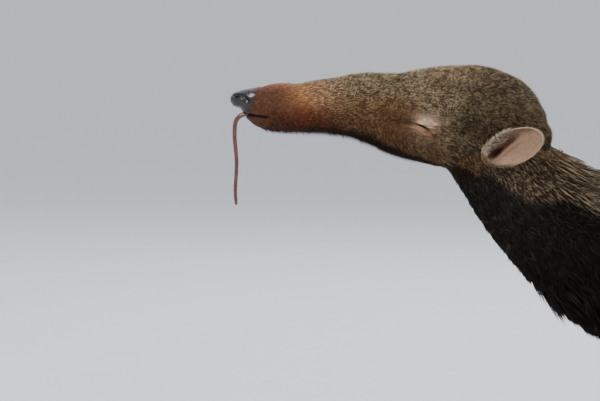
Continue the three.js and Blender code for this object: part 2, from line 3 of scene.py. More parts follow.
import bmesh
import bpy
import numpy as np
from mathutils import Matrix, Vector

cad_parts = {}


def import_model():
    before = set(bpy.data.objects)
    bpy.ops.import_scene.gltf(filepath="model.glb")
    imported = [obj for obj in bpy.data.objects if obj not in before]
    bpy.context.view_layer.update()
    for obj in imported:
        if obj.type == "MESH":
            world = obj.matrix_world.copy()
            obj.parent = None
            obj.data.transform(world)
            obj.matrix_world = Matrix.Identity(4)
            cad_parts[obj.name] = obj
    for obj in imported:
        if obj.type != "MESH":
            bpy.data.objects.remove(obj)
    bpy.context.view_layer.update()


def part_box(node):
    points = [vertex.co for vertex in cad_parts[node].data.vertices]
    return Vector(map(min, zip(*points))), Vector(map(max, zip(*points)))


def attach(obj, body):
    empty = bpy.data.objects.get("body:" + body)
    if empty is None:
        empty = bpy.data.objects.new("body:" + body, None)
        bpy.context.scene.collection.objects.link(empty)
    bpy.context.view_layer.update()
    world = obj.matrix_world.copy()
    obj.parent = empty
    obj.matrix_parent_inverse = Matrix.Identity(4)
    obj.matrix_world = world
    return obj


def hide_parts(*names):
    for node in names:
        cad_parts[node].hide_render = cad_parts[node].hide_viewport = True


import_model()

# A young giant anteater standing on its four feet, head raised, eyes closed, tongue out.
# All shapes are worked out in millimetres in the CAD's own design frame, with the snout along -X, the
# left side at -Y and the floor at z = 0, and are moved to the frame's metres by world().

UP = np.array([0.0, 0.0, 1.0])
ACROSS = np.array([0.0, 1.0, 0.0])
SIDES = ((-1, "left"), (1, "right"))

head_length = 258.0
nose_height = 378.0
nose_reach = 525.0
trunk_length = 490.0
trunk_middle = 240.0
trunk_depth = 190.0
trunk_width = 170.0
leg_spread = 66.0
tail_length = 430.0
rump = 0.47 * trunk_length
hip_height = 250.0

# The solid nose starts a little behind the reach, and its rounded end stands out by half its width.
nose_start = -nose_reach + 3
nose_end = 6.5
nose_low, nose_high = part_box("nose")
SHIFT = np.array([nose_low.x * 1000 - (nose_start - 0.5 * nose_end), (nose_low.y + nose_high.y) * 500, 0.0])


def world(points):
    return (np.asarray(points, float) + SHIFT) / 1000


def smooth(low, high, value):
    t = np.clip((np.asarray(value, float) - low) / (high - low), 0, 1)
    return t * t * (3 - 2 * t)


def unit(vectors):
    return vectors / np.maximum(np.linalg.norm(vectors, axis=-1, keepdims=True), 1e-9)


def ridge(a, wide):
    """One along a line and nothing far from it."""
    return np.exp(-(a / wide) ** 2)


def spot(a, b, wide, high, power=2):
    """One at a place and nothing far from it."""
    return np.exp(-(a / wide) ** power - (b / high) ** power)


def waves(points, size, seed, count=6):
    """A smooth, repeatable noise between about -1 and 1."""
    rng = np.random.default_rng(seed)
    total = np.zeros(len(points))
    for _ in range(count):
        way = rng.normal(size=3)
        way *= rng.uniform(0.6, 1.5) / np.linalg.norm(way)
        total += np.sin(points @ way * (2 * math.pi / size) + rng.uniform(0, 6.28))
    return total / math.sqrt(count)


# Forms

LINE_STEPS = 160
BATCH = 20000
CAP_RINGS = 4


def through(rows):
    """A smooth curve through rows of numbers, as a function of the share of the way along."""
    rows = np.asarray(rows, float)
    ends = np.vstack([2 * rows[0] - rows[1], rows, 2 * rows[-1] - rows[-2]])

    def at(share):
        place = np.clip(np.asarray(share, float), 0, 1) * (len(rows) - 1)
        k = np.minimum(place.astype(int), len(rows) - 2)
        w = (place - k)[..., None]
        p0, p1, p2, p3 = (ends[k + j] for j in range(4))
        t0, t1 = 0.5 * (p2 - p0), 0.5 * (p3 - p1)
        return (2 * p1 - 2 * p2 + t0 + t1) * w ** 3 + (3 * p2 - 3 * p1 - 2 * t0 - t1) * w ** 2 + t0 * w + p1

    return at


class Form:
    """A middle line with a width, a rise and a fall at each station."""

    def __init__(self, stations, sideways=ACROSS):
        stations = np.asarray(stations, float)
        self.middle = through(stations[:, :3])
        self.size = through(stations[:, 3:])
        self.sideways = np.asarray(sideways, float)
        self.shares = np.linspace(0, 1, LINE_STEPS + 1)
        self.line = self.middle(self.shares)
        self.length = np.linalg.norm(np.diff(self.line, axis=0), axis=1).sum()

    def axes(self, share):
        share = np.asarray(share, float)
        along = unit(self.middle(share + 0.002) - self.middle(share - 0.002))
        side = unit(self.sideways - along * (along @ self.sideways)[..., None])
        return along, side, np.cross(along, side)

    def point(self, share, angle, grow=0.0):
        share, angle = np.broadcast_arrays(np.asarray(share, float), angle)
        _, side, up = self.axes(share)
        s = self.size(share)
        c, n = np.cos(angle), np.sin(angle)
        half = np.where(n > 0, s[..., 1], s[..., 2]) + grow
        return self.middle(share) + side * ((s[..., 0] + grow) * c)[..., None] + up * (half * n)[..., None]

    def locate(self, points):
        """Share along, angle round and distance over radius, for points near the form."""
        share = np.empty(len(points))
        for k in range(0, len(points), BATCH):
            part = points[k:k + BATCH]
            gap = ((part[:, None, :] - self.line[None]) ** 2).sum(-1)
            share[k:k + BATCH] = self.shares[gap.argmin(1)]
        step = 1 / LINE_STEPS
        for _ in range(2):
            along, _, _ = self.axes(share)
            slip = ((points - self.middle(share)) * along).sum(-1)
            share = np.clip(share + np.clip(slip / self.length, -step, step), 0, 1)
        away = points - self.middle(share)
        s = self.size(share)
        c, a, b = ((away * axis).sum(-1) for axis in self.axes(share))
        tall = np.where(b > 0, s[:, 1], s[:, 2])
        reach = np.sqrt((a / s[:, 0]) ** 2 + (b / tall) ** 2 + (c / s[:, 0]) ** 2)
        return share, np.arctan2(b / tall, a / s[:, 0]), reach


def quads(rows, sides):
    """Faces between neighbouring rings of points."""
    return [(low + k, low + (k + 1) % sides, low + sides + (k + 1) % sides, low + sides + k)
            for low in range(0, rows * sides, sides) for k in range(sides)]


def loft(form, rings, sides, grow=0.0, front=0.5, back=0.5):
    """Points and faces of the closed surface of a form, with a rounded cap at each end."""
    angles = np.arange(sides) / sides * 2 * math.pi
    rows = []

    def swell(share):
        return grow(share) if callable(grow) else grow

    def ring(share, shrink, shift):
        middle = form.middle(share)
        around = form.point(np.full(sides, share), angles, swell(share))
        rows.append(middle + (around - middle) * shrink + form.axes(share)[0] * shift)

    def bulge(share, amount):
        return amount * (form.size(share)[0] + swell(share))

    turns = [k / (CAP_RINGS + 1) * math.pi / 2 for k in range(1, CAP_RINGS + 1)]
    for turn in turns:
        ring(0.0, math.sin(turn), -bulge(0.0, front) * math.cos(turn))
    for k in range(rings + 1):
        ring(k / rings, 1, 0)
    for turn in turns[::-1]:
        ring(1.0, math.sin(turn), bulge(1.0, back) * math.cos(turn))
    first = form.middle(0.0) - form.axes(0.0)[0] * bulge(0.0, front)
    last = form.middle(1.0) + form.axes(1.0)[0] * bulge(1.0, back)
    points = np.vstack([*rows, first, last])
    faces = quads(len(rows) - 1, sides)
    end = (len(rows) - 1) * sides
    for k in range(sides):
        n = (k + 1) % sides
        faces += [(len(points) - 2, n, k), (len(points) - 1, end + k, end + n)]
    return points, faces


# Head: share along, height of the middle, half height, half width.
head_rows = [
    [0.056, -5, 10, 10], [0.084, -7, 15.5, 14], [0.115, -8, 18.6, 16], [0.16, -8.2, 19.8, 16.8],
    [0.214, -8.2, 19.8, 17.2], [0.276, -6.8, 21.6, 18.8], [0.338, -6.6, 24.2, 21.6], [0.4, -6.8, 27.6, 25],
    [0.462, -9.4, 30.6, 28.8], [0.524, -12.8, 34.4, 33], [0.6, -14.2, 39, 37], [0.69, -15.8, 43, 40.5],
    [0.775, -18.6, 44.4, 42], [0.85, -21.5, 38, 41], [0.89, -26, 28, 37], [0.92, -33, 20, 29]]
# Trunk: share along, height of the middle, and width, rise and fall as shares of the largest.
trunk_rows = [
    [-0.48, 0, 0.5, 0.6, 0.56], [-0.38, -2, 0.8, 0.88, 0.84], [-0.22, -2, 0.93, 0.97, 1.02],
    [-0.02, 2, 0.97, 1, 1.05], [0.18, 6, 1, 1.03, 0.98], [0.34, 8, 0.94, 0.98, 0.86],
    [0.46, 8, 0.72, 0.77, 0.68], [0.54, 4, 0.46, 0.52, 0.46]]
# Tail without its hair: share along, height, half width, half height.
tail_rows = [[0, 244, 36, 45], [0.08, 236, 30, 37], [0.19, 220, 24, 30], [0.36, 196, 18, 23],
             [0.55, 171, 14, 18], [0.74, 152, 10, 13], [0.92, 141, 7, 9], [1, 138, 4, 5]]
# Legs and feet: x, distance out from the leg's line, z, half width, reach up or ahead, reach down or behind.
leg_rows = {
    "fore": [[-172, -26, 262, 32, 54, 48], [-180, -12, 220, 38, 52, 47], [-166, -2, 168, 37, 45, 42],
             [-168, 2, 114, 35, 42, 38], [-172, 0, 66, 30, 33, 30], [-176, 0, 34, 25, 26, 25]],
    "forefoot": [[-226, 0, 15, 12, 12, 13], [-214, 0, 18, 23, 20, 22], [-192, 0, 24, 28, 26, 28],
                 [-168, 0, 24, 26, 27, 28], [-148, 0, 20, 16, 17, 22]],
    "hind": [[152, -34, 266, 40, 66, 64], [148, -18, 228, 44, 70, 66], [130, -4, 176, 40, 58, 52],
             [148, 0, 118, 33, 42, 38], [172, -3, 66, 26, 30, 28], [178, -4, 34, 23, 24, 25]],
    "hindfoot": [[94, 0, 9, 18, 8, 11], [110, 0, 13, 26, 13, 16], [138, -2, 18, 26, 20, 21],
                 [168, -4, 22, 23, 26, 25], [198, -4, 19, 15, 16, 22]]}
# How far each leg is set forward or back at the floor.
steps = {"fore_left": -14, "fore_right": 10, "hind_left": 10, "hind_right": -14}

forms = {
    "head": Form([[s * head_length - nose_reach, 0, nose_height + high, wide, half, half]
                  for s, high, half, wide in head_rows]),
    "neck": Form([[-330, 0, 352, 36, 37, 39], [-306, 0, 325, 41, 38.5, 45], [-268, 0, 285, 49, 47.5, 53],
                  [-218, 0, 258, 60, 64, 70], [-160, 0, 248, 64, 74, 76]]),
    "trunk": Form([[s * trunk_length, 0, trunk_middle + high,
                    wide * trunk_width / 2, rise * trunk_depth / 2, fall * trunk_depth / 2]
                   for s, high, wide, rise, fall in trunk_rows]),
    "tail": Form([[rump + s * tail_length, 0, high, wide, half, half] for s, high, wide, half in tail_rows]),
    "nose": Form([[-nose_reach + back, 0, nose_height - drop, *sizes] for back, drop, *sizes in (
        (3, 1.5, nose_end, 5.5, 6), (9, 1, 9.6, 7.2, 8), (17, 0.8, 11.5, 8.6, 9), (24, 0.8, 11, 9.8, 9))])}
for side, label in SIDES:
    for part, rows in leg_rows.items():
        step = steps[part.replace("foot", "") + "_" + label]
        forms[part + "_" + label] = Form(
            [[x + step * (1 - min(z / hip_height, 1)), side * (leg_spread + out), z, *sizes]
             for x, out, z, *sizes in rows])
names = list(forms)
kinds = np.array([name.split("_")[0] for name in names])
lengths_of = np.array([form.length for form in forms.values()])
widths_of = np.array([form.size(0.5)[0] for form in forms.values()])


def head_depth(share):
    return -0.5 - 1.9 * float(smooth(0.1, 0.6, share))


# How far the skin lies inside the solids, which are taken to the outside of the short coat.
depths = {"head": head_depth, "neck": -4.5, "trunk": -6.5, "tail": 0.0, "nose": -0.2, "fore": -4.5,
          "hind": -5.0, "forefoot": -1.8, "hindfoot": -1.8}


# Meshes

def in_scene(name, data):
    thing = bpy.data.objects.new(name, data)
    bpy.context.scene.collection.objects.link(thing)
    return thing


def new_object(name, mesh, material, smooth_faces=True):
    piece = in_scene(name, mesh)
    mesh.materials.append(material)
    mesh.polygons.foreach_set("use_smooth", [smooth_faces] * len(mesh.polygons))
    return piece


def stand_for(node, mesh, material):
    """A piece of its own that takes the place of one solid."""
    piece = new_object(node, mesh, material)
    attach(piece, "root")
    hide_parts(node)


def mesh_from(name, points, faces):
    mesh = bpy.data.meshes.new(name)
    mesh.from_pydata([tuple(p) for p in world(points)], [], [tuple(f) for f in faces])
    mesh.update()
    return mesh


def triangle_mesh(name, points, triangles):
    mesh = bpy.data.meshes.new(name)
    mesh.vertices.add(len(points))
    mesh.vertices.foreach_set("co", np.ascontiguousarray(world(points), np.float32).ravel())
    mesh.loops.add(3 * len(triangles))
    mesh.loops.foreach_set("vertex_index", np.ascontiguousarray(triangles, np.int32).ravel())
    mesh.polygons.add(len(triangles))
    mesh.polygons.foreach_set("loop_start", np.arange(0, 3 * len(triangles), 3, dtype=np.int32))
    mesh.update(calc_edges=True)
    return mesh


def put_colours(mesh, ground, tint, alpha=1.0):
    """Keeps the dark colour of the coat and the colour of its pale bands."""
    put_colour(mesh, "ground", ground, alpha)
    put_colour(mesh, "tint", tint)


def put_colour(mesh, name, colours, alpha=1.0):
    data = np.ones((len(mesh.vertices), 4), np.float32)
    data[:, :3] = colours
    data[:, 3] = alpha
    mesh.attributes.new(name, "FLOAT_COLOR", "POINT").data.foreach_set("color", data.ravel())


def put_lie(mesh, *columns):
    """Keeps a place on the surface, drawn out along the lie of the hair or the grain."""
    data = np.stack(columns, 1).astype(np.float32)
    mesh.attributes.new("lie", "FLOAT_VECTOR", "POINT").data.foreach_set("vector", data.ravel())


def read(items, key, width, kind=np.float32):
    flat = np.empty(len(items) * width, kind)
    items.foreach_get(key, flat)
    return flat.reshape(-1, width)


def coordinates(mesh):
    return read(mesh.vertices, "co", 3).astype(float) * 1000 - SHIFT


def normals_of(mesh):
    return read(mesh.vertex_normals, "vector", 3).astype(float)


def edges_of(mesh):
    return read(mesh.edges, "vertices", 2, np.int32)


def set_coordinates(mesh, points):
    mesh.vertices.foreach_set("co", np.ascontiguousarray(world(points), np.float32).ravel())
    mesh.update()


def neighbour_mean(values, edges):
    """The mean of each row of values over the points joined to it by an edge."""
    total = [np.bincount(edges[:, 0], column[edges[:, 1]], len(values))
             + np.bincount(edges[:, 1], column[edges[:, 0]], len(values)) for column in values.T]
    return np.stack(total, 1) / np.bincount(edges.ravel(), minlength=len(values))[:, None]


def relax(points, edges, rounds, weight=1.0):
    """Smooths points towards the mean of their neighbours and back, which keeps the volume."""
    for step in range(2 * rounds):
        pull = 0.5 if step % 2 == 0 else -0.52
        points = points + (neighbour_mean(points, edges) - points) * pull * weight
    return points


# Camera, floor and light

def aim(thing, at):
    thing.rotation_mode = "QUATERNION"
    thing.rotation_quaternion = (Vector(at) - thing.location).to_track_quat("-Z", "Y")


# The photo has 0.8 mm to a pixel at the head, with the nose tip at pixel 231, 98 of 600 by 401.
mm_per_pixel = 0.8
picture_width, picture_height = 600, 401
nose_pixel = (231, 98)
elevation = math.radians(5)
camera_distance = 1.7
sensor_width = 36
look_at = world([-nose_reach + (picture_width / 2 - nose_pixel[0]) * mm_per_pixel, 0,
                 nose_height - (picture_height / 2 - nose_pixel[1]) * mm_per_pixel / math.cos(elevation)])
camera_data = bpy.data.cameras.new("camera")
camera = in_scene("camera", camera_data)
camera_data.sensor_width = sensor_width
camera_data.lens = sensor_width * camera_distance / (picture_width * mm_per_pixel / 1000)
camera_data.clip_end = 60
camera.location = Vector(look_at) + Vector((0, -math.cos(elevation), math.sin(elevation))) * camera_distance
aim(camera, look_at)
bpy.context.scene.camera = camera

head_place = Vector(world([-380, 0, 360]))


def area_light(name, offset, size, power, colour):
    """A round light at an offset from the head, turned to it."""
    data = bpy.data.lights.new(name, "AREA")
    data.shape = "DISK"
    data.size = size
    data.energy = power
    data.color = colour
    light = in_scene(name, data)
    light.location = head_place + Vector(offset)
    aim(light, head_place)


area_light("key", (-0.5, -1.3, 1.7), size=0.9, power=50, colour=(1.0, 0.96, 0.9))
area_light("fill", (1.6, -1.9, 0.5), size=1.6, power=11, colour=(1.0, 0.98, 0.95))
area_light("rim", (0.4, 1.9, 1.5), size=1.2, power=36, colour=(0.95, 0.97, 1.0))


def soft_sky(overhead, horizon, colour):
    """A studio sky, brighter overhead, that meets the far floor with no line."""
    sky = bpy.data.worlds.new("soft_studio")
    bpy.context.scene.world = sky
    sky.use_nodes = True
    nodes, links = sky.node_tree.nodes, sky.node_tree.links
    where = nodes.new("ShaderNodeTexCoord")
    parts = nodes.new("ShaderNodeSeparateXYZ")
    links.new(where.outputs["Generated"], parts.inputs["Vector"])
    rise = nodes.new("ShaderNodeMapRange")
    links.new(parts.outputs["Z"], rise.inputs["Value"])
    rise.inputs["To Min"].default_value = horizon
    rise.inputs["To Max"].default_value = overhead
    links.new(rise.outputs["Result"], nodes["Background"].inputs["Strength"])
    nodes["Background"].inputs["Color"].default_value = (*colour, 1)


soft_sky(overhead=1.2, horizon=0.735, colour=(0.855, 0.89, 0.945))


# Materials

class Nodes:
    """Short ways to add and link shader nodes."""

    def __init__(self, name):
        self.material = bpy.data.materials.new(name)
        self.material.use_nodes = True
        self.tree = self.material.node_tree
        self.tree.nodes.clear()
        output = self.tree.nodes.new("ShaderNodeOutputMaterial")
        self.shader = self.tree.nodes.new("ShaderNodeBsdfPrincipled")
        self.put(output.inputs["Surface"], self.shader.outputs["BSDF"])

    def put(self, socket, value):
        """Links a socket to another, or gives it a number or a colour."""
        if isinstance(value, bpy.types.NodeSocket):
            self.tree.links.new(value, socket)
        else:
            socket.default_value = (*value, 1) if isinstance(value, tuple) else value

    def add(self, kind, **settings):
        node = self.tree.nodes.new(kind)
        for key, value in settings.items():
            if hasattr(node, key):
                setattr(node, key, value)
            else:
                self.put(node.inputs[key], value)
        return node

    def place(self, stretch=(1, 1, 1)):
        where = self.add("ShaderNodeTexCoord").outputs["Object"]
        mapping = self.add("ShaderNodeMapping", Vector=where)
        mapping.inputs["Scale"].default_value = stretch
        return mapping.outputs["Vector"]

    def noise(self, vector, scale, detail=3.0, roughness=0.55, distortion=0.0):
        return self.add("ShaderNodeTexNoise", Vector=vector, Scale=scale, Detail=detail, Roughness=roughness,
                        Distortion=distortion).outputs["Fac"]

    def ramp(self, value, stops):
        node = self.add("ShaderNodeValToRGB", Fac=value)
        elements = node.color_ramp.elements
        while len(elements) < len(stops):
            elements.new(0.5)
        for element, (place, colour) in zip(elements, stops):
            element.position = place
            element.color = (*(colour if len(colour) == 3 else colour * 3), 1)
        return node.outputs["Color"]

    def span(self, value, a, b, low=0.0, high=1.0):
        node = self.add("ShaderNodeMapRange", Value=value)
        for key, number in zip(("From Min", "From Max", "To Min", "To Max"), (a, b, low, high)):
            node.inputs[key].default_value = number
        return node.outputs["Result"]

    def mix(self, factor, a, b):
        node = self.add("ShaderNodeMix", data_type="RGBA")
        for key, value in (("Factor", factor), ("A", a), ("B", b)):
            self.put([s for s in node.inputs if s.name == key and s.enabled][0], value)
        return [s for s in node.outputs if s.enabled][0]

    def tinge(self, colour, pattern, a, b, most, share, over):
        """A colour turned partly to another, where a pattern is high."""
        return self.mix(self.span(pattern, a, b, 0.0, most), colour, self.mix(share, colour, over))

    def sum(self, a, b, operation="ADD"):
        node = self.add("ShaderNodeMath", operation=operation)
        for socket, value in zip(node.inputs, (a, b)):
            self.put(socket, value)
        return node.outputs["Value"]

    def bump(self, height, distance, strength, under=None):
        node = self.add("ShaderNodeBump", Height=height, Strength=strength, Distance=distance)
        if under is not None:
            self.put(node.inputs["Normal"], under)
        return node.outputs["Normal"]

    def kept(self, name, output="Color"):
        return self.add("ShaderNodeAttribute", attribute_name=name).outputs[output]

    def set(self, **values):
        for key, value in values.items():
            self.put(self.shader.inputs[key.replace("_", " ")], value)
        return self.material


def hair_material():
    """Hair that is dark at the root and pale in a band below the tip, from the colours kept on it."""
    n = Nodes("coat_hair")
    ground = n.add("ShaderNodeAttribute", attribute_name="ground").outputs
    band = n.ramp(ground["Alpha"], [(0.0, (0.0,)), (0.3, (0.12,)), (0.62, (1.0,)), (0.93, (0.9,)),
                                    (1.0, (0.55,))])
    colour = n.mix(band, ground["Color"], n.kept("tint"))
    fine = n.noise(n.place(), 700.0, 2.0)
    colour = n.tinge(colour, fine, 0.35, 0.75, 0.45, 0.6, (0.01, 0.007, 0.004))
    return n.set(Base_Color=colour, Roughness=n.span(fine, 0.2, 0.8, 0.45, 0.67), Specular_IOR_Level=0.14)


def skin_material():
    """Skin below the coat: finely haired, and black, pebbled and wet on the nose."""
    n = Nodes("anteater_skin")
    hairs = n.noise(n.kept("lie", "Vector"), 0.85, 4.0, 0.62, 0.6)
    spots = n.noise(n.place(), 420.0, 4.0, 0.6)
    blotch = n.noise(n.place(), 42.0, 4.0, 0.6)
    colour = n.mix(n.span(hairs, 0.47, 0.62), n.kept("ground"), n.kept("tint"))
    colour = n.tinge(colour, blotch, 0.35, 0.7, 0.35, 0.65, (0.022, 0.008, 0.003))
    colour = n.tinge(colour, spots, 0.5, 0.75, 0.3, 0.5, (0.3, 0.2, 0.13))
    nose = n.add("ShaderNodeSeparateColor", Color=n.kept("nose_zone")).outputs["Red"]
    pebble = n.add("ShaderNodeTexVoronoi", Vector=n.place(), Scale=900.0)
    black = n.mix(n.span(spots, 0.4, 0.7), (0.0035, 0.0038, 0.0048), (0.010, 0.010, 0.0115))
    rough = n.sum(n.span(nose, 0.0, 1.0, 0.7, 0.38), n.span(spots, 0.3, 0.7, -0.06, 0.06))
    fine = n.bump(hairs, 0.0006, 0.55)
    fine = n.bump(blotch, 0.0012, 0.35, fine)
    fine = n.bump(n.sum(pebble.outputs["Distance"], nose, "MULTIPLY"), 0.0005, 0.5, fine)
    return n.set(Base_Color=n.mix(nose, colour, black), Roughness=rough, Normal=fine, Specular_IOR_Level=0.2,
                 Subsurface_Weight=0.05, Subsurface_Scale=0.003, Coat_Weight=n.span(nose, 0.3, 1.0, 0.0, 0.6),
                 Coat_Roughness=0.06)


def horn_material():
    n = Nodes("claw_horn")
    grain = n.noise(n.kept("lie", "Vector"), 0.7, 4.0, 0.6, 0.4)
    blotch = n.noise(n.place(), 90.0, 3.0)
    colour = n.ramp(grain, [(0.25, (0.12, 0.045, 0.018)), (0.5, (0.27, 0.125, 0.055)),
                            (0.75, (0.42, 0.24, 0.12))])
    colour = n.mix(n.span(blotch, 0.45, 0.75, 0.0, 0.6), colour, (0.07, 0.03, 0.016))
    return n.set(Base_Color=colour, Roughness=n.span(grain, 0.3, 0.7, 0.22, 0.42),
                 Normal=n.bump(grain, 0.0004, 0.4), Coat_Weight=0.25, Coat_Roughness=0.2)


def tongue_material():
    n = Nodes("wet_tongue")
    blotch = n.noise(n.place(), 160.0, 4.0)
    rings = n.noise(n.place((1, 1, 3)), 600.0, 3.0)
    colour = n.ramp(blotch, [(0.3, (0.05, 0.014, 0.009)), (0.7, (0.12, 0.035, 0.022))])
    return n.set(Base_Color=colour, Roughness=n.span(rings, 0.3, 0.7, 0.18, 0.34),
                 Normal=n.bump(rings, 0.0003, 0.4), Coat_Weight=0.4, Coat_Roughness=0.12,
                 Subsurface_Weight=0.1, Subsurface_Scale=0.003)


def eye_material():
    n = Nodes("wet_eye")
    mottle = n.noise(n.place(), 500.0, 3.0)
    colour = n.ramp(mottle, [(0.3, (0.006, 0.003, 0.002)), (0.7, (0.03, 0.014, 0.008))])
    return n.set(Base_Color=colour, Roughness=n.span(mottle, 0.3, 0.7, 0.16, 0.26), Specular_IOR_Level=0.25,
                 Coat_Weight=0.12, Coat_Roughness=0.08)


def ear_material():
    n = Nodes("ear_skin")
    hairs = n.noise(n.kept("lie", "Vector"), 0.9, 4.0, 0.6, 0.5)
    veins = n.noise(n.place(), 180.0, 4.0, 0.6, 1.2)
    colour = n.mix(n.span(hairs, 0.44, 0.64), n.kept("ground"), n.kept("tint"))
    colour = n.tinge(colour, veins, 0.55, 0.75, 0.4, 0.6, (0.2, 0.06, 0.035))
    normal = n.bump(veins, 0.0006, 0.4, n.bump(hairs, 0.0005, 0.5))
    return n.set(Base_Color=colour, Roughness=n.span(hairs, 0.3, 0.7, 0.5, 0.66), Normal=normal,
                 Subsurface_Weight=0.15, Subsurface_Scale=0.004)


def floor_material():
    n = Nodes("pale_floor")
    grain = n.noise(n.place(), 30.0, 4.0)
    colour = n.mix(n.span(grain, 0.3, 0.7), (0.66, 0.674, 0.695), (0.69, 0.699, 0.715))
    return n.set(Base_Color=colour, Roughness=0.8)


SKIN, HORN, TONGUE = skin_material(), horn_material(), tongue_material()
EYE, EAR, HAIR = eye_material(), ear_material(), hair_material()

far, drop = 9, -0.0006
floor_data = bpy.data.meshes.new("floor")
floor_data.from_pydata([(-far, -far, drop), (far, -far, drop), (far, far, drop), (-far, far, drop)],
                       [], [(0, 1, 2, 3)])
floor = new_object("floor", floor_data, floor_material(), False)


# The skin

eye_x, eye_z = -373.8, 355.8
slit_tilt = math.radians(25)
slit_half = 7.2
mouth_front, mouth_corner, mouth_height = -nose_reach + 4, -nose_reach + 31, nose_height - 12.4
nostril_path = np.array([[3.5, 5.6, 1.5], [6.5, 8.6, 2.5], [10.5, 10.6, 1.2], [13, 11.4, -2.2]])
voxel = 0.0028
sole_height = 0.4


def eye_places(points):
    """Along the closed slit, across it, and whether a point is on either side of the head."""
    a, b = points[:, 0] - eye_x, points[:, 2] - eye_z
    c, s = math.cos(slit_tilt), math.sin(slit_tilt)
    return a * c - b * s, a * s + b * c, smooth(14, 24, np.abs(points[:, 1]))


def slit_curve(u):
    return 1.2 * (1 - (u / slit_half) ** 2)


def mouth_gap(points):
    """Height above the line of the mouth, and how far the line is cut at this place."""
    back, length = points[:, 0] - mouth_front, mouth_corner - mouth_front
    line = mouth_height - 3.4 * np.clip(back / length, 0, 1)
    return points[:, 2] - line, smooth(length + 2, length - 4, back)


def nostril_distance(points):
    path = nostril_path + [-nose_reach, 0, nose_height]
    q = np.stack([points[:, 0], np.abs(points[:, 1]), points[:, 2]], 1)
    best = np.full(len(q), 1e9)
    for a, b in zip(path[:-1], path[1:]):
        t = np.clip(((q - a) @ (b - a)) / ((b - a) @ (b - a)), 0, 1)
        best = np.minimum(best, np.linalg.norm(q - a - t[:, None] * (b - a), axis=1))
    return best


def face_relief(points, normals):
    """How far each point of the skin stands out or in, along its normal."""
    out = 0.5 * waves(points, 46, 3) + 0.16 * waves(points, 14, 4)
    # The lids and the slit between them, the folds round them, the crease ahead and the brow.
    u, v, flank = eye_places(points)
    back, above = points[:, 0] - eye_x, points[:, 2] - eye_z
    window = smooth(slit_half + 1.2, slit_half - 2.2, np.abs(u))
    slit = slit_curve(u)
    lids = 2.4 * spot(u, v - 3.4, 11, 5.2)
    lids += 1.3 * spot(u, v + 3.6, 10, 3.2)
    lids += 0.7 * ridge(v - slit - 1.5, 0.9) * window
    lids -= 2.6 * ridge(v - slit, 0.72) * window
    lids -= 0.55 * spot(v + 7.6 + 0.03 * u ** 2, u, 1.1, 12)
    lids -= 0.5 * spot(v - 8.6 - 0.02 * u ** 2, u, 1.2, 10)
    crease = smooth(-28, -20, back) * smooth(-5, -9, back)
    lids -= crease * ridge(above - 3.6 - 0.02 * (back + 10), 1.2)
    lids -= 1.7 * spot(back + 23, above - 6, 8, 6)
    lids += 1.2 * spot(back + 2, above - 15, 16, 6)
    out += lids * flank * (points[:, 0] < -300)
    # The mouth's lips and cut, and the nostrils.
    gap, cut = mouth_gap(points)
    side_or_front = smooth(0.95, 0.7, np.abs(normals[:, 2]))
    out += cut * side_or_front * (0.7 * ridge(np.abs(gap) - 2.6, 1.3) - 2.4 * ridge(gap, 0.95))
    nostril = nostril_distance(points)
    out -= 3.0 * ridge(nostril, 1.5)
    out += 0.5 * ridge(nostril - 3.0, 1.2) * (points[:, 0] < -500)
    return out


def fused(source_mesh):
    """The mesh fused into one closed surface."""
    thing = in_scene("raw", source_mesh)
    remesh = thing.modifiers.new("fuse", "REMESH")
    remesh.mode = "VOXEL"
    remesh.voxel_size = voxel
    remesh.adaptivity = 0
    graph = bpy.context.evaluated_depsgraph_get()
    mesh = bpy.data.meshes.new_from_object(thing.evaluated_get(graph))
    bpy.data.objects.remove(thing)
    return mesh


def refine(mesh, wanted):
    """Halves the faces whose middle is wanted."""
    bm = bmesh.new()
    bm.from_mesh(mesh)
    middles = np.array([f.calc_center_median() for f in bm.faces]) * 1000 - SHIFT
    bm.faces.ensure_lookup_table()
    edges = {e for k in np.nonzero(wanted(middles))[0] for e in bm.faces[k].edges}
    bmesh.ops.subdivide_edges(bm, edges=list(edges), cuts=1, use_grid_fill=True)
    bm.to_mesh(mesh)
    bm.free()
    mesh.update()


def on_front(middles):
    return middles[:, 0] < -296


def near_detail(middles):
    u, v, _ = eye_places(middles)
    by_eye = (np.abs(u) < 22) & (np.abs(v) < 15) & (np.abs(middles[:, 1]) > 16)
    return by_eye | (middles[:, 0] < mouth_corner + 4)


def build_skin():
    """One closed skin over all the forms, finer on the head, with the face modelled in it."""
    points, faces = [], []
    for name, form in forms.items():
        foot = "foot" in name
        caps = {"head": (0.35, 0.5), "nose": (0.5, 0.1)}.get(name, (0.6, 0.6) if foot else (0.5, 0.5))
        sides = 56 if foot or name in ("head", "nose") else 64
        p, f = loft(form, 60, sides, depths[name.split("_")[0]], *caps)
        start = sum(len(q) for q in points)
        points.append(p)
        faces.extend(tuple(start + k for k in face) for face in f)
    mesh = fused(mesh_from("raw", np.vstack(points), faces))
    set_coordinates(mesh, relax(coordinates(mesh), edges_of(mesh), 5))
    refine(mesh, on_front)
    refine(mesh, near_detail)
    p = coordinates(mesh)
    p = relax(p, edges_of(mesh), 4, smooth(-285, -300, p[:, 0])[:, None])
    set_coordinates(mesh, p)
    n = normals_of(mesh)
    p = p + n * face_relief(p, n)[:, None]
    p[:, 2] = np.maximum(p[:, 2], sole_height)
    set_coordinates(mesh, p)
    return mesh


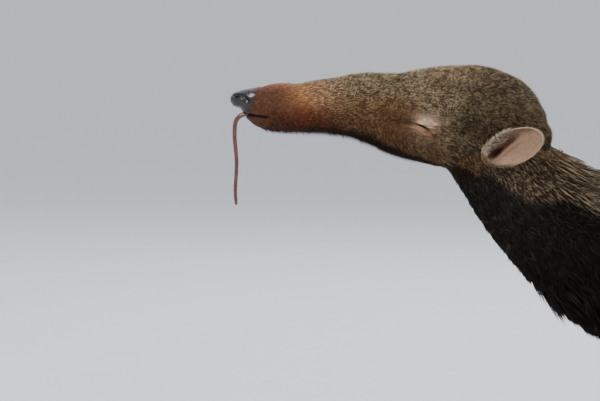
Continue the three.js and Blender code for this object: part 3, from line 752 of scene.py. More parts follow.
def nearest_forms(points):
    """The index, share and angle of the form that each point belongs to."""
    best = np.full(len(points), 1e9)
    which = np.zeros(len(points), int)
    share, angle = np.zeros((2, len(points)))
    margin = 110
    for k, (name, form) in enumerate(forms.items()):
        low, high = form.line.min(0) - margin, form.line.max(0) + margin
        near = np.nonzero(((points > low) & (points < high)).all(1))[0]
        if len(near) == 0:
            continue
        s, a, r = form.locate(points[near])
        r = np.abs(r - 1) + (0.15 if name == "nose" else 0)
        pick = r < best[near]
        better = near[pick]
        best[better], which[better], share[better], angle[better] = r[pick], k, s[pick], a[pick]
    return which, share, angle


skin_mesh = build_skin()
skin_points, skin_normals = coordinates(skin_mesh), normals_of(skin_mesh)
skin_which, skin_share, skin_angle = nearest_forms(skin_points)


# Markings

# Where the brown of the head gives way to its near black underside, dark fur with painted shade: place along
# and height.
underside_fur_and_shade_line = np.array([[-522, 350], [-490, 353], [-446, 356], [-430, 354], [-412, 350], [-398, 342],
                     [-382, 334], [-350, 326], [-326, 318], [-300, 306]])


def blend(a, b, t):
    return np.asarray(a) * (1 - t[:, None]) + np.asarray(b) * t[:, None]


def layered(colour, *layers):
    """Colours laid over one another, each as far as its mask says."""
    for mask, over in layers:
        colour = blend(colour, over, np.clip(mask, 0, 1))
    return colour


def paint(ground, tint, layers):
    """Layers of mask, ground and tint, some with the share of the mask for the ground and for the tint."""
    for mask, under, over, *shares in layers:
        a, b = shares or (1, 1)
        ground, tint = layered(ground, (mask * a, under)), layered(tint, (mask * b, over))
    return ground, tint


def markings(points, normals, which):
    """The dark ground colour of the coat and the colour of its pale bands, everywhere on the body."""
    x, z = points[:, 0], points[:, 2]
    kind = kinds[which]
    ground, tint = np.zeros((2, len(points), 3))

    def keep(chosen, *colours):
        for field, colour in zip((ground, tint), colours):
            field[chosen] = np.broadcast_to(colour, field.shape)[chosen]

    # Head: grizzled from behind the middle of the snout, reddish and finely haired ahead of it.
    u, v, flank = eye_places(points)
    back, above = x - eye_x, z - eye_z
    furred = smooth(-474, -406, x + 0.9 * (z - 374))
    underside_fur_and_shade_height = np.interp(x, *underside_fur_and_shade_line.T) + 1.5 * waves(points, 18, 9)
    head_colours = paint(
        blend([0.125, 0.040, 0.0115], [0.076, 0.0165, 0.0034], smooth(380, 366, z)),
        blend([0.33, 0.165, 0.067], [0.15, 0.045, 0.0108], smooth(382, 366, z)), [
            # The red tip, the coat, its warm part, the crown's back, the temple and the cheek.
            (smooth(-464, -490, x) * smooth(392, 382, z), [0.042, 0.0095, 0.0024], [0.095, 0.031, 0.0095]),
            (furred, [0.0165, 0.009, 0.004], [0.63, 0.47, 0.285]),
            (smooth(388, 368, z) * smooth(-368, -396, x) * furred,
             [0.040, 0.0135, 0.004], [0.43, 0.24, 0.104], 0.95, 0.95),
            (smooth(-365, -320, x) * furred, [0.008, 0.0044, 0.0018], [0.41, 0.295, 0.172]),
            (spot(x + 336, z - 357, 20, 13) * furred, [0.0075, 0.004, 0.0018], [0.225, 0.155, 0.088]),
            (smooth(352, 334, z) * furred, [0.027, 0.0125, 0.005], [0.38, 0.235, 0.12]),
            # Ahead of the eye, round it, the upper lid with a painted highlight, the slit's pink rim, painted
            # shade in the hollow, and the underside, dark fur with painted shade.
            (spot(back + 24, above + 1, 22, 14) * flank, [0.10, 0.035, 0.012], [0.25, 0.13, 0.06], 0.85, 0.7),
            (spot(u + 2, v + 2, 16, 11, 4) * flank, [0.145, 0.068, 0.033], [0.36, 0.23, 0.14]),
            # The upper lid: pale bare skin, with a painted highlight on its top.
            (spot(back - 2.2, above - 6.6, 9.5, 5.4) * flank,
             [0.40, 0.275, 0.185], [0.62, 0.48, 0.34], 1.2, 1.2),
            (spot(u + 2, v + 1.9, 3.4, 1.5) * flank, [0.27, 0.10, 0.07], [0, 0, 0], 0.8, 0),
            # Painted shade in the hollow above and ahead of the eye.
            (spot(back + 14, above - 5.4, 8.5, 4.2) * flank,
             [0.040, 0.0165, 0.0065], [0.17, 0.09, 0.042], 0.9, 0.9),
            # The underside: dark fur, darkened further with painted shade.
            (smooth(3.5, -3.5, z - underside_fur_and_shade_height), [0.009, 0.0036, 0.0016], [0.035, 0.016, 0.008])])
    off = v - slit_curve(u)
    # Painted shade along the closed slit, and in the fold that runs on from its back end.
    line = ridge(off, 0.62) * smooth(slit_half + 0.8, slit_half - 3.5, np.abs(u + 0.8)) * flank
    fold = ridge(off + 0.2, 1.0) * smooth(2, 7, u) * smooth(13, 9, u) * flank
    for colours in head_colours:
        colours *= 1 - np.array([0.86, 0.94, 0.965]) * line[:, None]
        colours *= 1 - np.array([0.45, 0.52, 0.58]) * fold[:, None]
    keep(np.isin(kind, ["head", "nose"]), *head_colours)
    # Neck, shoulder and trunk: a black band from the throat up across the shoulder, edged with cream.
    body = np.isin(kind, ["neck", "trunk", "fore"])
    waver = 4 * waves(points, 60, 8)
    above = z - np.interp(x, [-330, -290, -230, -150, 0, 40], [322, 300, 296, 312, 336, 340]) + waver
    under = 128 + (x + 262) * 0.70 - z + waver
    band = smooth(5, -5, above) * smooth(5, -5, under) * smooth(46, 20, x)
    edge = np.maximum(ridge(above - 7, 7) * smooth(8, -8, under), ridge(under - 7, 7) * smooth(8, -8, above))
    edge *= smooth(60, 30, x) * smooth(-265, -215, x)
    keep(body, *paint([0.022, 0.0135, 0.0075], [0.17, 0.125, 0.075], [
        (smooth(-240, -300, x), [0.017, 0.0098, 0.0045], [0.27, 0.195, 0.115]),
        (band, [0.0035, 0.0028, 0.0022], [0.014, 0.011, 0.008]),
        (edge, [0.22, 0.17, 0.12], [0.55, 0.47, 0.36], 0.85, 0.9)]))
    # Forelegs: cream to tan, with a dark band at the wrist and dark toes.
    wrist = np.maximum(smooth(9, 4, np.abs(z - 58 + 2 * waves(points, 22, 5))), smooth(34, 22, z))
    arm = np.isin(kind, ["fore", "forefoot"]) & ~((band > 0.4) & (z > 150))
    keep(arm, *paint([0.17, 0.12, 0.078], [0.58, 0.49, 0.37],
                     [(wrist, [0.045, 0.022, 0.012], [0.13, 0.075, 0.043])]))
    # Hind legs: dark brown. Tail: dark with pale tips. Belly: thinly haired brown skin.
    keep(np.isin(kind, ["hind", "hindfoot"]), [0.011, 0.007, 0.0045], [0.085, 0.058, 0.036])
    keep(kind == "tail", [0.014, 0.009, 0.006], [0.155, 0.115, 0.074])
    keep(body & (normals[:, 2] < -0.5) & (x > -120), [0.06, 0.033, 0.02], [0.2, 0.14, 0.09])
    return ground, tint


ground, tint = markings(skin_points, skin_normals, skin_which)
nose_zone = smooth(-503, -510, skin_points[:, 0] + 0.25 * (nose_height - skin_points[:, 2]))
mouth_off, mouth_cut = mouth_gap(skin_points)
# Painted shade along the cut of the mouth.
for colours in (ground, tint):
    colours *= 1 - 0.9 * (ridge(mouth_off, 1.1) * mouth_cut)[:, None]
put_colours(skin_mesh, ground, tint)
put_colour(skin_mesh, "nose_zone", nose_zone[:, None])
put_lie(skin_mesh, skin_share * lengths_of[skin_which] / 3.2, skin_angle * widths_of[skin_which] / 0.75,
        skin_which * 7.0)
skin = new_object("skin", skin_mesh, SKIN)
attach(skin, "root")


# Ears, eyes, tongue and claws

ear_back, ear_side, ear_up = 220.5, 45.0, -36.0
ear_long, ear_wide, ear_deep, ear_rim = 25.8, 13.4, 7.5, 7.0
ear_tilt, ear_flare = math.radians(23), 0.27
ear_pit = -14.4


def ear_axes(side):
    """The ear's middle, the way to its tip, the way across it and the way out of its opening."""
    level = math.cos(ear_tilt) * math.cos(ear_flare)
    long_way = np.array([level, side * math.sin(ear_flare), math.sin(ear_tilt) * math.cos(ear_flare)])
    out = unit(side * ACROSS - long_way * (side * long_way[1]))
    across = np.cross(out, long_way) * side
    middle = np.array([-nose_reach + ear_back, side * ear_side, nose_height + ear_up])
    return middle, long_way, across * np.sign(across[2]), out


def ear_groove(along):
    """Height across the ear of its dark groove, at each place along it."""
    return np.interp(along, [-18, -14.6, -7, -1.5, 5.4, 10.8, 18], [-0.8, 0, 2.4, 4.2, 6.2, 6.6, 5.4])


def ear_leaf(side, radius, turn, inside):
    """Points of the ear's inner or outer surface at a share of its radius and an angle from its tip."""
    middle, long_way, across, out = ear_axes(side)
    c, s = np.cos(turn), np.sin(turn)
    a = ear_long * radius * c * (1 + 0.03 * np.cos(3 * turn))
    b = ear_wide * radius * np.sign(s) * np.abs(s) ** 0.92 * (1 + 0.08 * np.cos(turn + 0.5))
    wave = 0.7 * np.sin(2 * turn + 0.6) * radius ** 4
    if inside:
        # The bowl, its groove, the pit, the fold above the groove, the lobe and the rolled rim.
        off = b - ear_groove(a)
        high = ear_rim + wave - ear_deep * (1 - radius ** 2.4) * (0.55 + 0.45 * smooth(12, -14, a))
        high -= 3.4 * smooth(13, -2, a) * smooth(-24, -17, a) * ridge(off, 2.0) * (1 - radius ** 6)
        high -= 3.6 * spot(a - ear_pit, off, 4.6, 3.0) * (1 - radius ** 6)
        high += 1.3 * ridge(off + 4.4, 1.9) * smooth(-22, -14, a) * smooth(14, 2, a) * (1 - radius ** 4)
        high += 1.4 * spot(a + 8.5, off - 1.6, 3.2, 1.7)
        high -= 0.9 * smooth(0.97, 1.0, radius)
    else:
        high = ear_rim + wave - 1.5 - 15.5 * (1 - radius ** 3.2) * (0.75 + 0.25 * smooth(14, -10, a))
    return middle + a[:, None] * long_way + b[:, None] * across + high[:, None] * out, a, b


def ear_colours(a, b, radius, inside):
    if not inside:
        edge = smooth(0.93, 0.985, radius) * smooth(-14, 10, a)
        return (blend([0.04, 0.024, 0.013], [0.33, 0.25, 0.17], edge),
                blend([0.2, 0.145, 0.09], [0.45, 0.36, 0.27], edge))
    off = b - ear_groove(a)
    # The groove and the pit: reddish-brown skin, darkened with painted shade in their depth, and without a
    # pale band there.
    groove = smooth(15, 0, a) * ridge(off, 2.7) * smooth(1.0, 0.86, radius)
    pit = spot(a - ear_pit, off - 0.2, 5.0, 3.5, 4)
    lobe = spot(a + 8.2, off - 1.2, 3.6, 2.4)
    upper = smooth(-1.5, 3.5, off)
    edge = smooth(0.95, 0.99, radius) * smooth(-10, 10, a)
    ground = layered([0.18, 0.101, 0.057], (upper, [0.082, 0.041, 0.018]),
                     (smooth(-8, -21, a) * (1 - upper), [0.10, 0.048, 0.024]),
                     (groove * 1.05, [0.066, 0.025, 0.0085]), (lobe * 0.85, [0.105, 0.034, 0.016]),
                     (pit, [0.046, 0.0105, 0.0022]), (edge * 0.8, [0.36, 0.28, 0.19]))
    tint = layered(ground * 1.45 + 0.012, (edge * 0.7, [0.44, 0.36, 0.26]), (pit + 0.7 * groove, ground))
    return ground, tint


def build_ear(side, label):
    rounds, rings = 96, 30
    radius = np.append(np.repeat(np.sin(np.linspace(0, math.pi / 2, rings + 1))[1:], rounds), 0.0)
    turn = np.append(np.tile(np.arange(rounds) / rounds * 2 * math.pi, rings), 0.0)
    leaves = []
    for inside in (True, False):
        p, a, b = ear_leaf(side, radius, turn, inside)
        lie = np.stack([a / 1.8, b / 0.45, np.full(len(a), 3.0 * inside)], 1)
        leaves.append((p, *ear_colours(a, b, radius, inside), lie))
    points, ground, tint, lie = (np.vstack(parts) for parts in zip(*leaves))
    faces, half, edge = [], rounds * rings + 1, (rings - 1) * rounds

    def add(face, flip):
        faces.append(face[::-1] if flip else face)

    for layer in (0, 1):
        base, flip = layer * half, bool(layer) != (side > 0)
        for k in range(rounds):
            n = (k + 1) % rounds
            add((base + half - 1, base + k, base + n), flip)
            for low in range(base, base + edge, rounds):
                add((low + k, low + rounds + k, low + rounds + n, low + n), flip)
    for k in range(rounds):
        n = (k + 1) % rounds
        add((edge + k, half + edge + k, half + edge + n, edge + n), side > 0)
    mesh = mesh_from("ear_" + label, points, faces)
    put_colours(mesh, ground, tint)
    put_lie(mesh, *lie.T)
    stand_for("ear_" + label, mesh, EAR)


def build_eye(side, label):
    """A wet ball with a low cornea, behind the closed lids."""
    middle = np.array([-nose_reach + 151, side * 27.5, nose_height - 22])
    rounds, rings = 40, 24
    points = []
    for k in range(rings + 1):
        turn = math.pi * k / rings
        reach = 6.9 + 0.6 * math.exp(-(turn / 0.55) ** 2)
        for j in range(rounds):
            angle = 2 * math.pi * j / rounds
            points.append(middle + reach * np.array([
                math.sin(turn) * math.cos(angle), side * math.cos(turn), math.sin(turn) * math.sin(angle)]))
    faces = [face if side > 0 else face[::-1] for face in quads(rings, rounds)]
    stand_for("eye_" + label, mesh_from("eye_" + label, points, faces), EYE)


def build_claw(name, points, thick, sideways):
    """A tapered horn with an oval section, fine ripples near its root and a fine grain."""
    stations = []
    for k, p in enumerate(points):
        t = thick * (1 - 0.85 * (k / (len(points) - 1)) ** 2.2)
        stations.append([p[0], p[1], max(p[2], t + 0.8), t, t * 0.8, t * 0.8])
    form = Form(stations, sideways)
    p, faces = loft(form, 28, 20, 0.0, 0.4, 1.2)
    share, angle, _ = form.locate(p)
    ripple = 0.05 * thick * np.sin(share * 34 + 2 * np.sin(angle)) * smooth(0.75, 0.1, share)
    p += unit(p - form.middle(share)) * ripple[:, None]
    mesh = mesh_from(name, p, faces)
    put_lie(mesh, share * form.length / 9, angle * thick / 0.5, share * 0 + thick)
    stand_for(name, mesh, HORN)


for side, label in SIDES:
    build_ear(side, label)
    build_eye(side, label)

# Tongue: place along and height from the nose, thinner towards its end.
tongue_path = [[28, -15], [20, -14.2], [11, -13.4], [4.5, -18], [3, -30], [4.5, -52], [3.5, -74], [4, -84]]
tongue_halves = [2.3 - 0.14 * k for k in range(len(tongue_path))]
tongue_form = Form([[back - nose_reach, 0.5 * math.sin(k * 1.7), nose_height + up, 1.25 * half, half, half]
                    for k, ((back, up), half) in enumerate(zip(tongue_path, tongue_halves))])
stand_for("tongue", mesh_from("tongue", *loft(tongue_form, 110, 20, 0.0, 1.0, 1.2)), TONGUE)

# Fore claws: level, first and last angle round the fist, thickness. Hind claws: offset, length, thickness.
fore_claws = [[34, -6, 40, 3.2], [24.5, -14, 74, 5], [12.5, -14, 88, 5.6], [5.5, -62, -30, 2.8]]
hind_claws = [[-20, 17, 3], [-10, 21, 3.4], [0, 22, 3.6], [10, 21, 3.4], [20, 17, 3]]
fist_length, fist_width, fist_height, fist_level = 43, 29, 24, 22
for side, label in SIDES:
    centre = forms["forefoot_" + label].middle(0.5)
    for k, (level, start, stop, thick) in enumerate(fore_claws):
        inset = math.sqrt(max(0, fist_height ** 2 - (level - fist_level) ** 2))
        room = fist_width / fist_height * inset - fist_width
        path = []
        for s in (0, 0.25, 0.5, 0.75, 1):
            turn = math.radians(start + (stop - start) * s)
            path.append([centre[0] - (fist_length + room + 3 * s) * math.cos(turn),
                         centre[1] - side * (fist_width + room + 4 * s) * math.sin(turn), level - 2 * s])
        build_claw(f"fore_claw_{label}_{k + 1}", path, thick, UP)
    root = forms["hindfoot_" + label].middle(0.0)
    for k, (offset, length, thick) in enumerate(hind_claws):
        path = [[root[0] + abs(offset) * 0.5 - 3 - length * s, root[1] + side * offset * (1 + 0.12 * s),
                 root[2] - 5 * s * s] for s in (0, 0.3, 0.65, 1)]
        build_claw(f"hind_claw_{label}_{k + 1}", path, thick, ACROSS)

flesh = ["head", "nose", "neck", "torso", "tail"]
for _, label in SIDES:
    flesh += [part + "_" + label
              for part in ("upper_arm", "forearm", "forefoot", "thigh", "shank", "hind_foot")]
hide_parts(*flesh)


# The coat

skin_edges = edges_of(skin_mesh)
skin_mesh.calc_loop_triangles()
skin_triangles = read(skin_mesh.loop_triangles, "vertices", 3, np.int32)
kind = kinds[skin_which]
sx, sy, sz = skin_points.T
nx, _, nz = skin_normals.T
u_eye, v_eye, eye_flank = eye_places(skin_points)


def spread(values, rounds):
    """Averages values over the skin, so that they change smoothly from part to part."""
    for _ in range(rounds):
        values = 0.4 * values + 0.6 * neighbour_mean(values, skin_edges)
    return values


def lie_of_coat():
    """The way the hair lies and how long it is at each point of the skin."""
    flank, rear = 1 - np.clip(nz, 0, 1), smooth(-0.2, 0.7, nx)
    low_down = 4 * smooth(70, 40, sz)
    way, long = np.zeros((len(sx), 3)), np.zeros((len(sx), 1))
    for members, lie, hair in (
            (["head", "nose"], (1, 0, -0.42 * flank - 0.2 * smooth(-400, -300, sx)),
             1.5 + 2.5 * smooth(-480, -400, sx) + 1.8 * smooth(-360, -280, sx)),
            (["neck"], (0.7, 0, -0.72), 6 + 8 * smooth(-320, -230, sx)),
            (["trunk"], (1, 0, -0.62 * flank),
             24 + 8 * smooth(0.1, -0.5, nz) - 12 * smooth(-0.75, -0.95, nz)),
            (["fore"], (0.15 + 0.4 * rear, 0, -1), 11 + 10 * rear + 8 * smooth(120, 200, sz) - low_down),
            (["hind"], (0.3 + 0.35 * rear, 0, -1), 11 + 10 * rear + 14 * smooth(120, 220, sz) - low_down),
            (["forefoot", "hindfoot"], (-0.75, 0, -0.5), 4.5),
            (["tail"], (1, 0.12 * np.sign(sy), -0.35 - 0.25 * smooth(0.2, -0.8, nz)), 30)):
        chosen = np.isin(kind, members)
        for field, columns in ((way, lie), (long, [hair])):
            field[chosen] = np.stack([np.broadcast_to(column, len(sx)) for column in columns], 1)[chosen]
    return spread(way, 26), spread(long, 14)[:, 0]


way_field, long_field = lie_of_coat()
round_eye = spot(sx - eye_x, sz - eye_z, 12, 8) * eye_flank
long_field = long_field * (1 - 0.65 * round_eye)
way_field[:, 0] -= 1.5 * round_eye * smooth(4, -8, sx - eye_x)
way_field[:, 2] += 0.9 * round_eye * np.sign(sz - eye_z)
swirl = 0.16 * waves(skin_points, 42, 21) + 0.1 * waves(skin_points, 17, 22)
way_field = unit(way_field + np.cross(skin_normals, unit(way_field)) * swirl[:, None])
averaged = {"point": skin_points, "way": way_field, "long": long_field, "ground": ground, "tint": tint}
share_drawn = 1.0


def roots_on_skin(weight, count, seed):
    """Draws root places on the skin, as often as the weight says, with all that is kept there."""
    rng = np.random.default_rng(seed)
    count = int(count * share_drawn)
    a, b, c = (skin_points[skin_triangles[:, k]] for k in range(3))
    area = np.linalg.norm(np.cross(b - a, c - a), axis=1) * weight[skin_triangles].mean(1)
    steps = np.cumsum(area)
    chosen = np.searchsorted(steps, (np.arange(count) + rng.random(count)) / count * steps[-1])
    corners = skin_triangles[np.minimum(chosen, len(area) - 1)]
    u, v = rng.random(count), rng.random(count)
    over = u + v > 1
    u[over], v[over] = 1 - u[over], 1 - v[over]
    parts = np.stack([1 - u - v, u, v], 1)

    def mean(field):
        return (field[corners] * (parts[..., None] if field.ndim > 1 else parts)).sum(1)

    nearest = corners[np.arange(count), parts.argmax(1)]
    return {"rng": rng, "normal": unit(mean(skin_normals)),
            **{key: mean(field) for key, field in averaged.items()},
            "which": skin_which[nearest], "share": skin_share[nearest], "angle": skin_angle[nearest]}


# How far along a tuft its rings and tip are, and how broad it is at each ring, for one to three rings.
LEVELS = {1: [0.0, 1.0], 2: [0.0, 0.52, 1.0], 3: [0.0, 0.36, 0.7, 1.0]}
BREADTHS = {1: [0.9], 2: [0.85, 0.8], 3: [0.8, 1.0, 0.66]}
KEY = 4000
PATCH = 0.0015


def tuft_faces(rings):
    """Triangles of one tuft: its foot, its sides and its tip."""
    faces = [[0, 1, 2]]
    for a in range(0, 3 * rings - 3, 3):
        for i in range(3):
            j = (i + 1) % 3
            faces += [[a + j, a + i, a + 3 + i], [a + j, a + 3 + i, a + 3 + j]]
    last = 3 * rings - 3
    return np.array(faces + [[last + (i + 1) % 3, last + i, last + 3] for i in range(3)])


def tufts(name, roots, rings, width, length=1.0, lift=18, bend=0.0, droop=0.0, curl=0.12, clump=0.0,
          clump_size=9.0, stray=0.3, pale=0.5, dark_share=0.5, fixed_length=None, fleck=0.0):
    """Closed, tapered tufts of three sides, each along the lie of the coat from its root."""
    rng, normal, which, levels = roots["rng"], roots["normal"], roots["which"], LEVELS[rings]
    n = len(normal)
    way = unit(roots["way"] - normal * (roots["way"] * normal).sum(1)[:, None])
    turn = rng.normal(0, stray, n)[:, None]
    way = way * np.cos(turn) + np.cross(normal, way) * np.sin(turn)
    side = np.cross(normal, way)
    reach = (roots["long"] * length if fixed_length is None else fixed_length) * rng.uniform(0.72, 1.2, n)
    raised = np.radians(np.asarray(lift) * rng.uniform(0.55, 1.45, n))
    wave = rng.normal(0, curl, n)
    line = []
    for t in levels:
        p = roots["point"] + way * (reach * t * np.cos(raised))[:, None]
        p += normal * (reach * (t * np.sin(raised) + 0.5 * bend * t * t) - 0.4)[:, None]
        p += side * (reach * wave * t * t)[:, None] - UP * (droop * reach * (t * t))[:, None]
        line.append(p)
    along, around = roots["share"] * lengths_of[which], roots["angle"] * widths_of[which]
    if clump > 0:
        warp = 0.35 * clump_size
        row = np.floor((along + warp * waves(roots["point"], 31, 51)) / (1.5 * clump_size))
        column = np.floor((around + warp * waves(roots["point"], 27, 52)) / clump_size)
        _, group = np.unique((which * KEY + row) * KEY + column, return_inverse=True)
        count = np.bincount(group)[:, None]
        for k, t in enumerate(levels[1:], 1):
            total = np.stack([np.bincount(group, line[k][:, j]) for j in range(3)], 1) / count
            line[k] = line[k] + (total[group] - line[k]) * (clump * t ** 1.3)
    for p in line[1:]:
        p[:, 2] = np.maximum(p[:, 2], 2 * sole_height)
    is_pale = rng.random(n) < pale
    if fleck > 0:
        # Neighbouring tufts share a colour, in small cells that are set off row by row.
        along = along + 1.1 * fleck * waves(roots["point"], 8, 53)
        around = around + 1.1 * fleck * waves(roots["point"], 7, 54)
        row = np.floor(along / (1.3 * fleck) + rng.normal(0, 0.12, n))
        column = np.floor(around / fleck + (row * 0.618) % 1 + rng.normal(0, 0.12, n))
        _, group = np.unique(row * KEY + column, return_inverse=True)
        shared = rng.random(group.max() + 1)[group] < pale
        is_pale = np.where(rng.random(n) < 0.8, shared, is_pale)
    broad = np.asarray(width) * rng.uniform(0.75, 1.25, n) * np.where(is_pale, 1.15, 0.9)
    rows = []
    for k, breadth in enumerate(BREADTHS[rings]):
        forward = unit(line[k + 1] - line[k])
        across = unit(np.cross(normal, forward))
        out = np.cross(forward, across)
        half = (broad * breadth / 2)[:, None]
        rows += [line[k] + across * half - out * half * 0.3, line[k] - across * half - out * half * 0.3,
                 line[k] + out * half * 0.75]
    verts = np.stack([*rows, line[-1]], 1)
    per = verts.shape[1]
    triangles = (tuft_faces(rings)[None] + (np.arange(n) * per)[:, None, None]).reshape(-1, 3)
    mesh = triangle_mesh(name, verts.reshape(-1, 3), triangles)
    strength = rng.uniform(0.75, 1.2, n)[:, None]
    plain = roots["ground"] + (roots["tint"] - roots["ground"]) * 0.16
    tip = np.where(is_pale[:, None], roots["tint"] * strength, plain)
    root_colour = roots["ground"] * rng.uniform(dark_share, 1.15, n)[:, None]
    heights = np.repeat(levels, [3] * rings + [1])
    put_colours(mesh, np.repeat(root_colour, per, 0), np.repeat(tip, per, 0), np.tile(heights, n))
    u = (which + 0.03 + 0.94 * np.clip(roots["share"], 0, 1)) / len(names)
    v = np.clip((roots["angle"] / (2 * math.pi)) % 1.0, 0.003, 0.997)
    du = np.array([PATCH, -PATCH, 0.0] * rings + [0.0])
    uv = np.stack([u[:, None] + du, v[:, None] + (2 * heights - 1) * PATCH], -1).reshape(-1, 2)
    mesh.uv_layers.new(name="OFBake").data.foreach_set("uv", uv[triangles.ravel()].astype(np.float32).ravel())
    piece = new_object(name, mesh, HAIR)
    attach(piece, "root")


def on(*members):
    return np.isin(kind, members).astype(float)


halves = {"left": (sy < 0).astype(float), "right": (sy >= 0).astype(float)}
bare_line = ridge(mouth_off, 2.0) * mouth_cut
closed_line = np.exp(-(u_eye / (slit_half + 1)) ** 4 - ((v_eye - 0.6) / 2.0) ** 2) * eye_flank
furred = smooth(-470, -415, sx + 0.8 * (sz - 372))
head_area = on("head") * (1 - nose_zone) * (1 - bare_line) * (1 - closed_line)
in_ear = np.zeros(len(sx), bool)
for side, _ in SIDES:
    middle, long_way, across, out = ear_axes(side)
    away = skin_points - middle
    a, b = (away @ long_way - 5) / (ear_long - 8), (away @ across + 0.5) / (ear_wide - 3.5)
    in_ear |= (a ** 2 + b ** 2 < 1) & (np.abs(away @ out) < 16)

roots = roots_on_skin(head_area * (1 - furred) * (sx > -502), 11000, 101)
tufts("coat_snout", roots, 1, 0.24, 0.95, lift=15, dark_share=0.7)
crown = head_area * np.clip(furred + 0.05, 0, 1) * (1 - 0.75 * round_eye) * ~in_ear
crown = crown * smooth(-262, -275, sx - 0.4 * (350 - sz))
for label, seed in (("left", 102), ("right", 103)):
    roots = roots_on_skin(crown * halves[label], 40000, seed)
    tufts("coat_head_" + label, roots, 1, 0.6, lift=27, curl=0.25, stray=0.38, pale=0.37,
          dark_share=0.35, fleck=1.0)
chin = head_area * smooth(0.1, -0.5, nz) * smooth(-505, -492, sx) * smooth(-372, -392, sx)
roots = roots_on_skin(chin, 5500, 115)
tufts("coat_muzzle_under", roots, 1, 0.45, lift=46, curl=0.2, pale=0.25,
      fixed_length=4.2 + 1.2 * smooth(-490, -450, roots["point"][:, 0]))

neck = on("neck") * smooth(-175, -200, sx) + on("head") * smooth(-300, -285, sx)
tufts("coat_neck", roots_on_skin(neck * ~in_ear, 14000, 104), 2, 1.0, lift=20, curl=0.2,
      clump=0.35, clump_size=7, stray=0.26, pale=0.45)

trunk = on("trunk") * smooth(0.93, 0.7, -nz) + on("neck") * smooth(-205, -175, sx)
for label, seed in (("left", 105), ("right", 106)):
    roots = roots_on_skin(trunk * halves[label], 8500, seed)
    tufts("coat_body_" + label, roots, 2, 1.9, lift=13, droop=0.06, curl=0.16, clump=0.45,
          clump_size=12, stray=0.2)
belly = on("trunk") * smooth(0.55, 0.85, -nz) + 0.3 * on("neck") * smooth(0.5, 0.9, -nz)
tufts("coat_belly", roots_on_skin(belly, 3500, 107), 2, 1.3, 0.7, lift=12, curl=0.2, clump=0.3)

crest = on("trunk", "neck") * smooth(0.35, 0.75, nz) * smooth(-290, -262, sx) * smooth(52, 12, np.abs(sy))
roots = roots_on_skin(crest * smooth(250, 215, sx), 6000, 108)
back = roots["point"][:, 0]
tufts("coat_crest", roots, 3, 1.05 + 0.85 * smooth(-235, -110, back), lift=17, clump=0.5,
      clump_size=11, stray=0.18,
      fixed_length=24 + 14 * smooth(-285, -235, back) + 30 * smooth(-200, 20, back))
flank = on("trunk") * smooth(0.35, -0.1, nz) * smooth(-0.92, -0.6, nz) * smooth(-130, -90, sx)
roots = roots_on_skin(flank * smooth(215, 150, sx), 6000, 109)
tufts("coat_flank", roots, 3, 2.0, lift=11, droop=0.22, curl=0.14, clump=0.55, clump_size=14,
      stray=0.18, fixed_length=46 + 10 * waves(roots["point"], 60, 23))

tufts("coat_forelegs", roots_on_skin(on("fore"), 12500, 110), 2, 1.35, lift=17, curl=0.18,
      clump=0.4, clump_size=8, stray=0.22, pale=0.6)
tufts("coat_hindlegs", roots_on_skin(on("hind"), 10000, 111), 2, 1.7, 1.1, lift=16,
      curl=0.16, clump=0.45, clump_size=10, stray=0.2, pale=0.4)
feet = on("forefoot", "hindfoot") * smooth(1.5, 5, sz)
tufts("coat_feet", roots_on_skin(feet, 13000, 112), 1, 0.75, lift=15, curl=0.15, stray=0.25,
      pale=0.45)

for label, seed, part in (("upper", 113, smooth(-0.15, 0.1, nz)), ("lower", 114, smooth(0.1, -0.15, nz))):
    roots = roots_on_skin(on("tail") * part, 8200, seed)
    under, along = smooth(0.2, -0.7, roots["normal"][:, 2]), roots["share"]
    tail_long = (62 + 40 * under) * (0.75 + 0.35 * smooth(0.0, 0.35, along))
    tail_long = tail_long * (1 - 0.12 * smooth(0.8, 1.0, along))
    tail_lift = (34 + 14 * under) * (1 - 0.62 * smooth(0.86, 1.0, along)) * smooth(-0.2, 0.12, along)
    tufts("coat_tail_" + label, roots, 3, 2.2, lift=tail_lift, bend=-0.12,
          droop=0.10 + 0.10 * (1 - under), curl=0.14, clump=0.55, clump_size=12, stray=0.2, pale=0.55,
          fixed_length=tail_long)


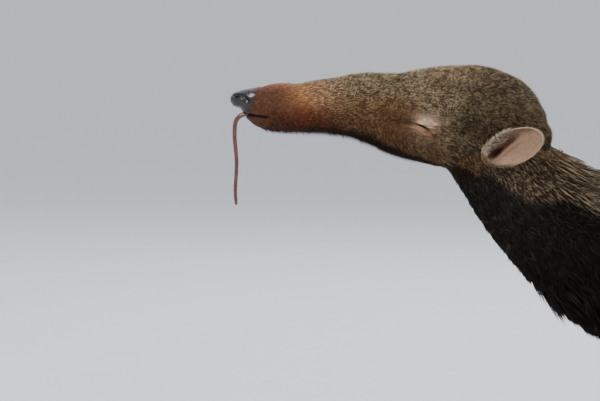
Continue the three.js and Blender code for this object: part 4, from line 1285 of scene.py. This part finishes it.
def ear_hairs():
    """Fine pale hair inside the ears and on their edges, and the coat of their backs."""
    rng = np.random.default_rng(120)
    gathered = []
    for side, _ in SIDES:
        _, long_way, across, out = ear_axes(side)
        for inside, count in ((True, int(5200 * share_drawn)), (False, int(2400 * share_drawn))):
            radius = np.sqrt(rng.random(count))
            if inside:
                rim = rng.random(count) < 0.35
                radius = np.where(rim, 1 - 0.12 * rng.random(count), radius)
            else:
                radius = 0.45 + 0.54 * rng.random(count) ** 0.7
            turn = rng.uniform(0, 2 * math.pi, count)
            p, a, b = ear_leaf(side, radius, turn, inside)
            radial = unit(a[:, None] * long_way + b[:, None] * across)
            way = unit(long_way + radial * 0.35 + across * 0.1)
            if inside:
                off = b - ear_groove(a)
                hairy = smooth(9, -3, a) * smooth(1.0, 3.4, off)
                fringe = smooth(2, -16, a) * smooth(0.84, 0.93, radius) * smooth(4, -2, b)
                normal = unit(out * 0.8 + radial * 0.25)
                dim = spot(a - ear_pit, off, 5.5, 3.2, 4)
                keep = rng.random(count) < np.clip(0.16 + 0.3 * (radius > 0.9) + hairy + fringe - dim, 0, 1)
                dark, pale = paint([0.24, 0.15, 0.1], [0.5, 0.4, 0.3], [
                    (hairy, [0.12, 0.078, 0.05], [0.66, 0.55, 0.42]),
                    (fringe, [0.022, 0.012, 0.006], [0.33, 0.235, 0.14])])
            else:
                hairy, fringe, keep = np.ones(count), np.zeros(count), np.ones(count, bool)
                normal = unit(out * -0.35 + radial * 0.9)
                dark, pale = np.tile([0.05, 0.032, 0.02], (count, 1)), np.tile([0.36, 0.28, 0.19], (count, 1))
            grown = 1.7 + 2.8 * hairy + 2.6 * fringe
            which = np.full(count, 2 * (side > 0) + inside)
            columns = (p, normal, way, grown, dark, pale, which, radius, turn - math.pi)
            gathered.append([column[keep] for column in columns])
    keys = ("point", "normal", "way", "long", "ground", "tint", "which", "share", "angle")
    return {"rng": rng, **dict(zip(keys, (np.concatenate(column) for column in zip(*gathered))))}


tufts("coat_ears", ear_hairs(), 1, 0.3, lift=16, curl=0.2, pale=0.6)
